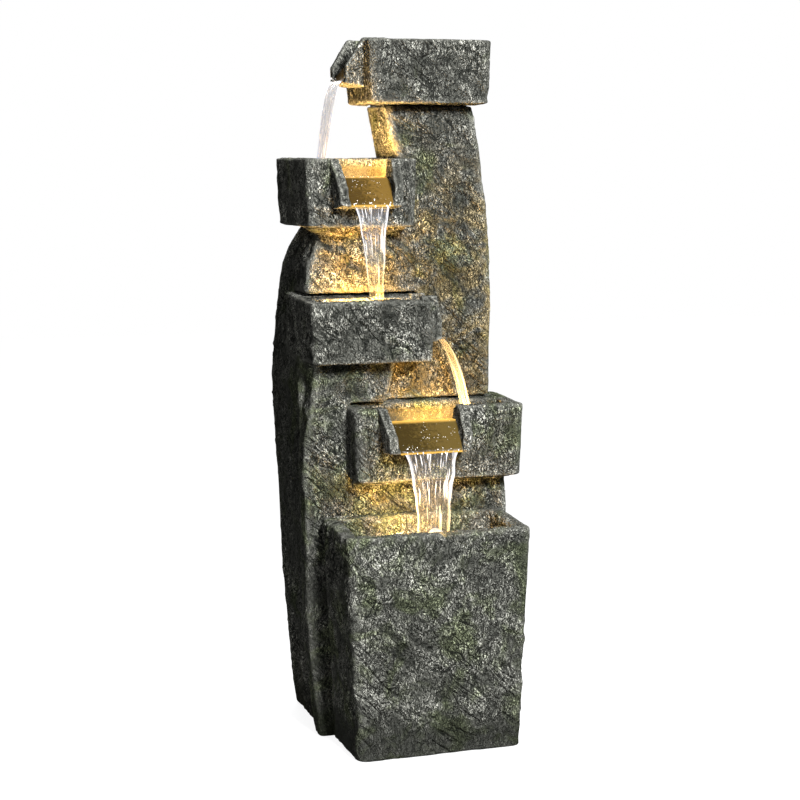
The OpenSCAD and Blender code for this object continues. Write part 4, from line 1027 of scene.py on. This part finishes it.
# Lamps: the fountain's own warm lights, and plain studio light

def add_lamp(name, place, aim, watts, size, colour=(1, 1, 1)):
    """A round lamp of that width."""
    data = bpy.data.lights.new(name, "AREA")
    data.energy = watts
    data.color = colour
    data.shape = "DISK"
    data.size = size
    lamp = bpy.data.objects.new(name, data)
    lamp.location = place
    lamp.rotation_euler = (Vector(aim) - Vector(place)).to_track_quat("-Z", "Y").to_euler()
    collection.objects.link(lamp)
    return lamp


def light_up(lens, watts, lean):
    """A warm lamp on a lens, leaning by that much per unit of height."""
    low, high = boxes[lens]
    top = Vector(((low.x + high.x) / 2, (low.y + high.y) / 2, high.z + 0.003))
    aim = top + Vector((lean[0], lean[1], 1))
    lamp = add_lamp(lens + "_lamp", top, aim, watts, size=0.018, colour=WARM_LIGHT)
    lamp.parent = frame["bodies"][BODY]


def pool_glow(name, place, size, watts, lean):
    """The light that comes up through a pool, as a wide warm lamp that leans by that much per unit of height."""
    aim = Vector(place) + Vector((lean[0], lean[1], 1))
    lamp = add_lamp(name, place, aim, watts, size, WARM_LIGHT)
    lamp.visible_camera = False
    lamp.visible_glossy = False
    lamp.parent = frame["bodies"][BODY]


light_up("second_lens", watts=1.1, lean=(0.1, -0.1))
light_up("third_lens", watts=0.8, lean=(0.0, 0.25))
light_up("fourth_lens", watts=0.22, lean=(0.0, 0.25))
light_up("basin_lens", watts=0.5, lean=(0.6, 0.0))

OVER_WATER = 0.003
pool_glow("second_glow", (-0.060, 0.050, second_level + OVER_WATER), size=0.085, watts=2.7, lean=(0.28, 0.0))
pool_glow("third_glow", (-0.075, -0.034, third_level + OVER_WATER), size=0.045, watts=1.8, lean=(0.0, 0.6))
pool_glow("fourth_glow", (0.035, -0.040, fourth_level + OVER_WATER), size=0.09, watts=0.65, lean=(0.0, 0.6))
pool_glow("basin_glow", (-0.030, -0.128, BASIN_LEVEL + 0.030), size=0.10, watts=0.60, lean=(2.4, 2.6))
pool_glow("basin_wall_glow", (-0.024, -0.078, BASIN_LEVEL + 0.052), size=0.05, watts=0.38, lean=(0.0, 1.3))

MIDDLE = (0, 0, 0.5)
add_lamp("key", (0.35, -3.0, 2.1), MIDDLE, watts=400, size=0.8)
add_lamp("fill", (-2.6, -1.6, 1.5), MIDDLE, watts=32, size=1.8)
add_lamp("top", (0.3, 0.3, 2.9), MIDDLE, watts=22, size=1.4)
add_lamp("back", (0.6, 2.8, 1.8), MIDDLE, watts=110, size=1.8)


# Floor, backdrop and camera

def set_world():
    """A white backdrop that lights the fountain only a little."""
    world = bpy.data.worlds.new("studio")
    bpy.context.scene.world = world
    world.use_nodes = True
    tree = world.node_tree
    tree.nodes.clear()
    strength = from_to(tree, seen_directly(tree), 0.07, 1.0)
    background = put(tree, "Background", {"Color": WHITE, "Strength": strength})
    put(tree, "OutputWorld", {"Surface": background.outputs["Background"]})


def add_floor():
    """A pale floor that keeps the shadow near the fountain and runs out to the white of the backdrop."""
    half = 6.0
    mesh = bpy.data.meshes.new("floor")
    mesh.from_pydata([(-half, -half, 0), (half, -half, 0), (half, half, 0), (-half, half, 0)], [], [(0, 1, 2, 3)])
    floor = bpy.data.objects.new("floor", mesh)
    collection.objects.link(floor)
    material, tree, here = new_material("pale floor")
    away = put(tree, "VectorMath", {0: here}, operation="LENGTH").outputs["Value"]
    far = between(tree, away, 0.5, 1.3)
    lift = from_to(tree, far, 0.90, 1.0)
    surface(tree, {
        "Base Color": blend_colour(tree, far, FLOOR_NEAR, FLOOR_FAR),
        "Roughness": 0.95, "Specular IOR Level": 0.0,
        "Emission Color": WHITE, "Emission Strength": times(tree, lift, seen_directly(tree)),
    })
    mesh.materials.append(material)


def add_camera():
    data = bpy.data.cameras.new("camera")
    data.lens = CAMERA_LENS
    data.sensor_width = CAMERA_SENSOR
    camera = bpy.data.objects.new("camera", data)
    camera.location = CAMERA_AT
    camera.rotation_euler = (math.pi / 2 - CAMERA_DOWN, 0, -CAMERA_TURN)
    collection.objects.link(camera)
    bpy.context.scene.camera = camera


set_world()
add_floor()
add_camera()
bpy.context.scene.view_settings.view_transform = "Standard"
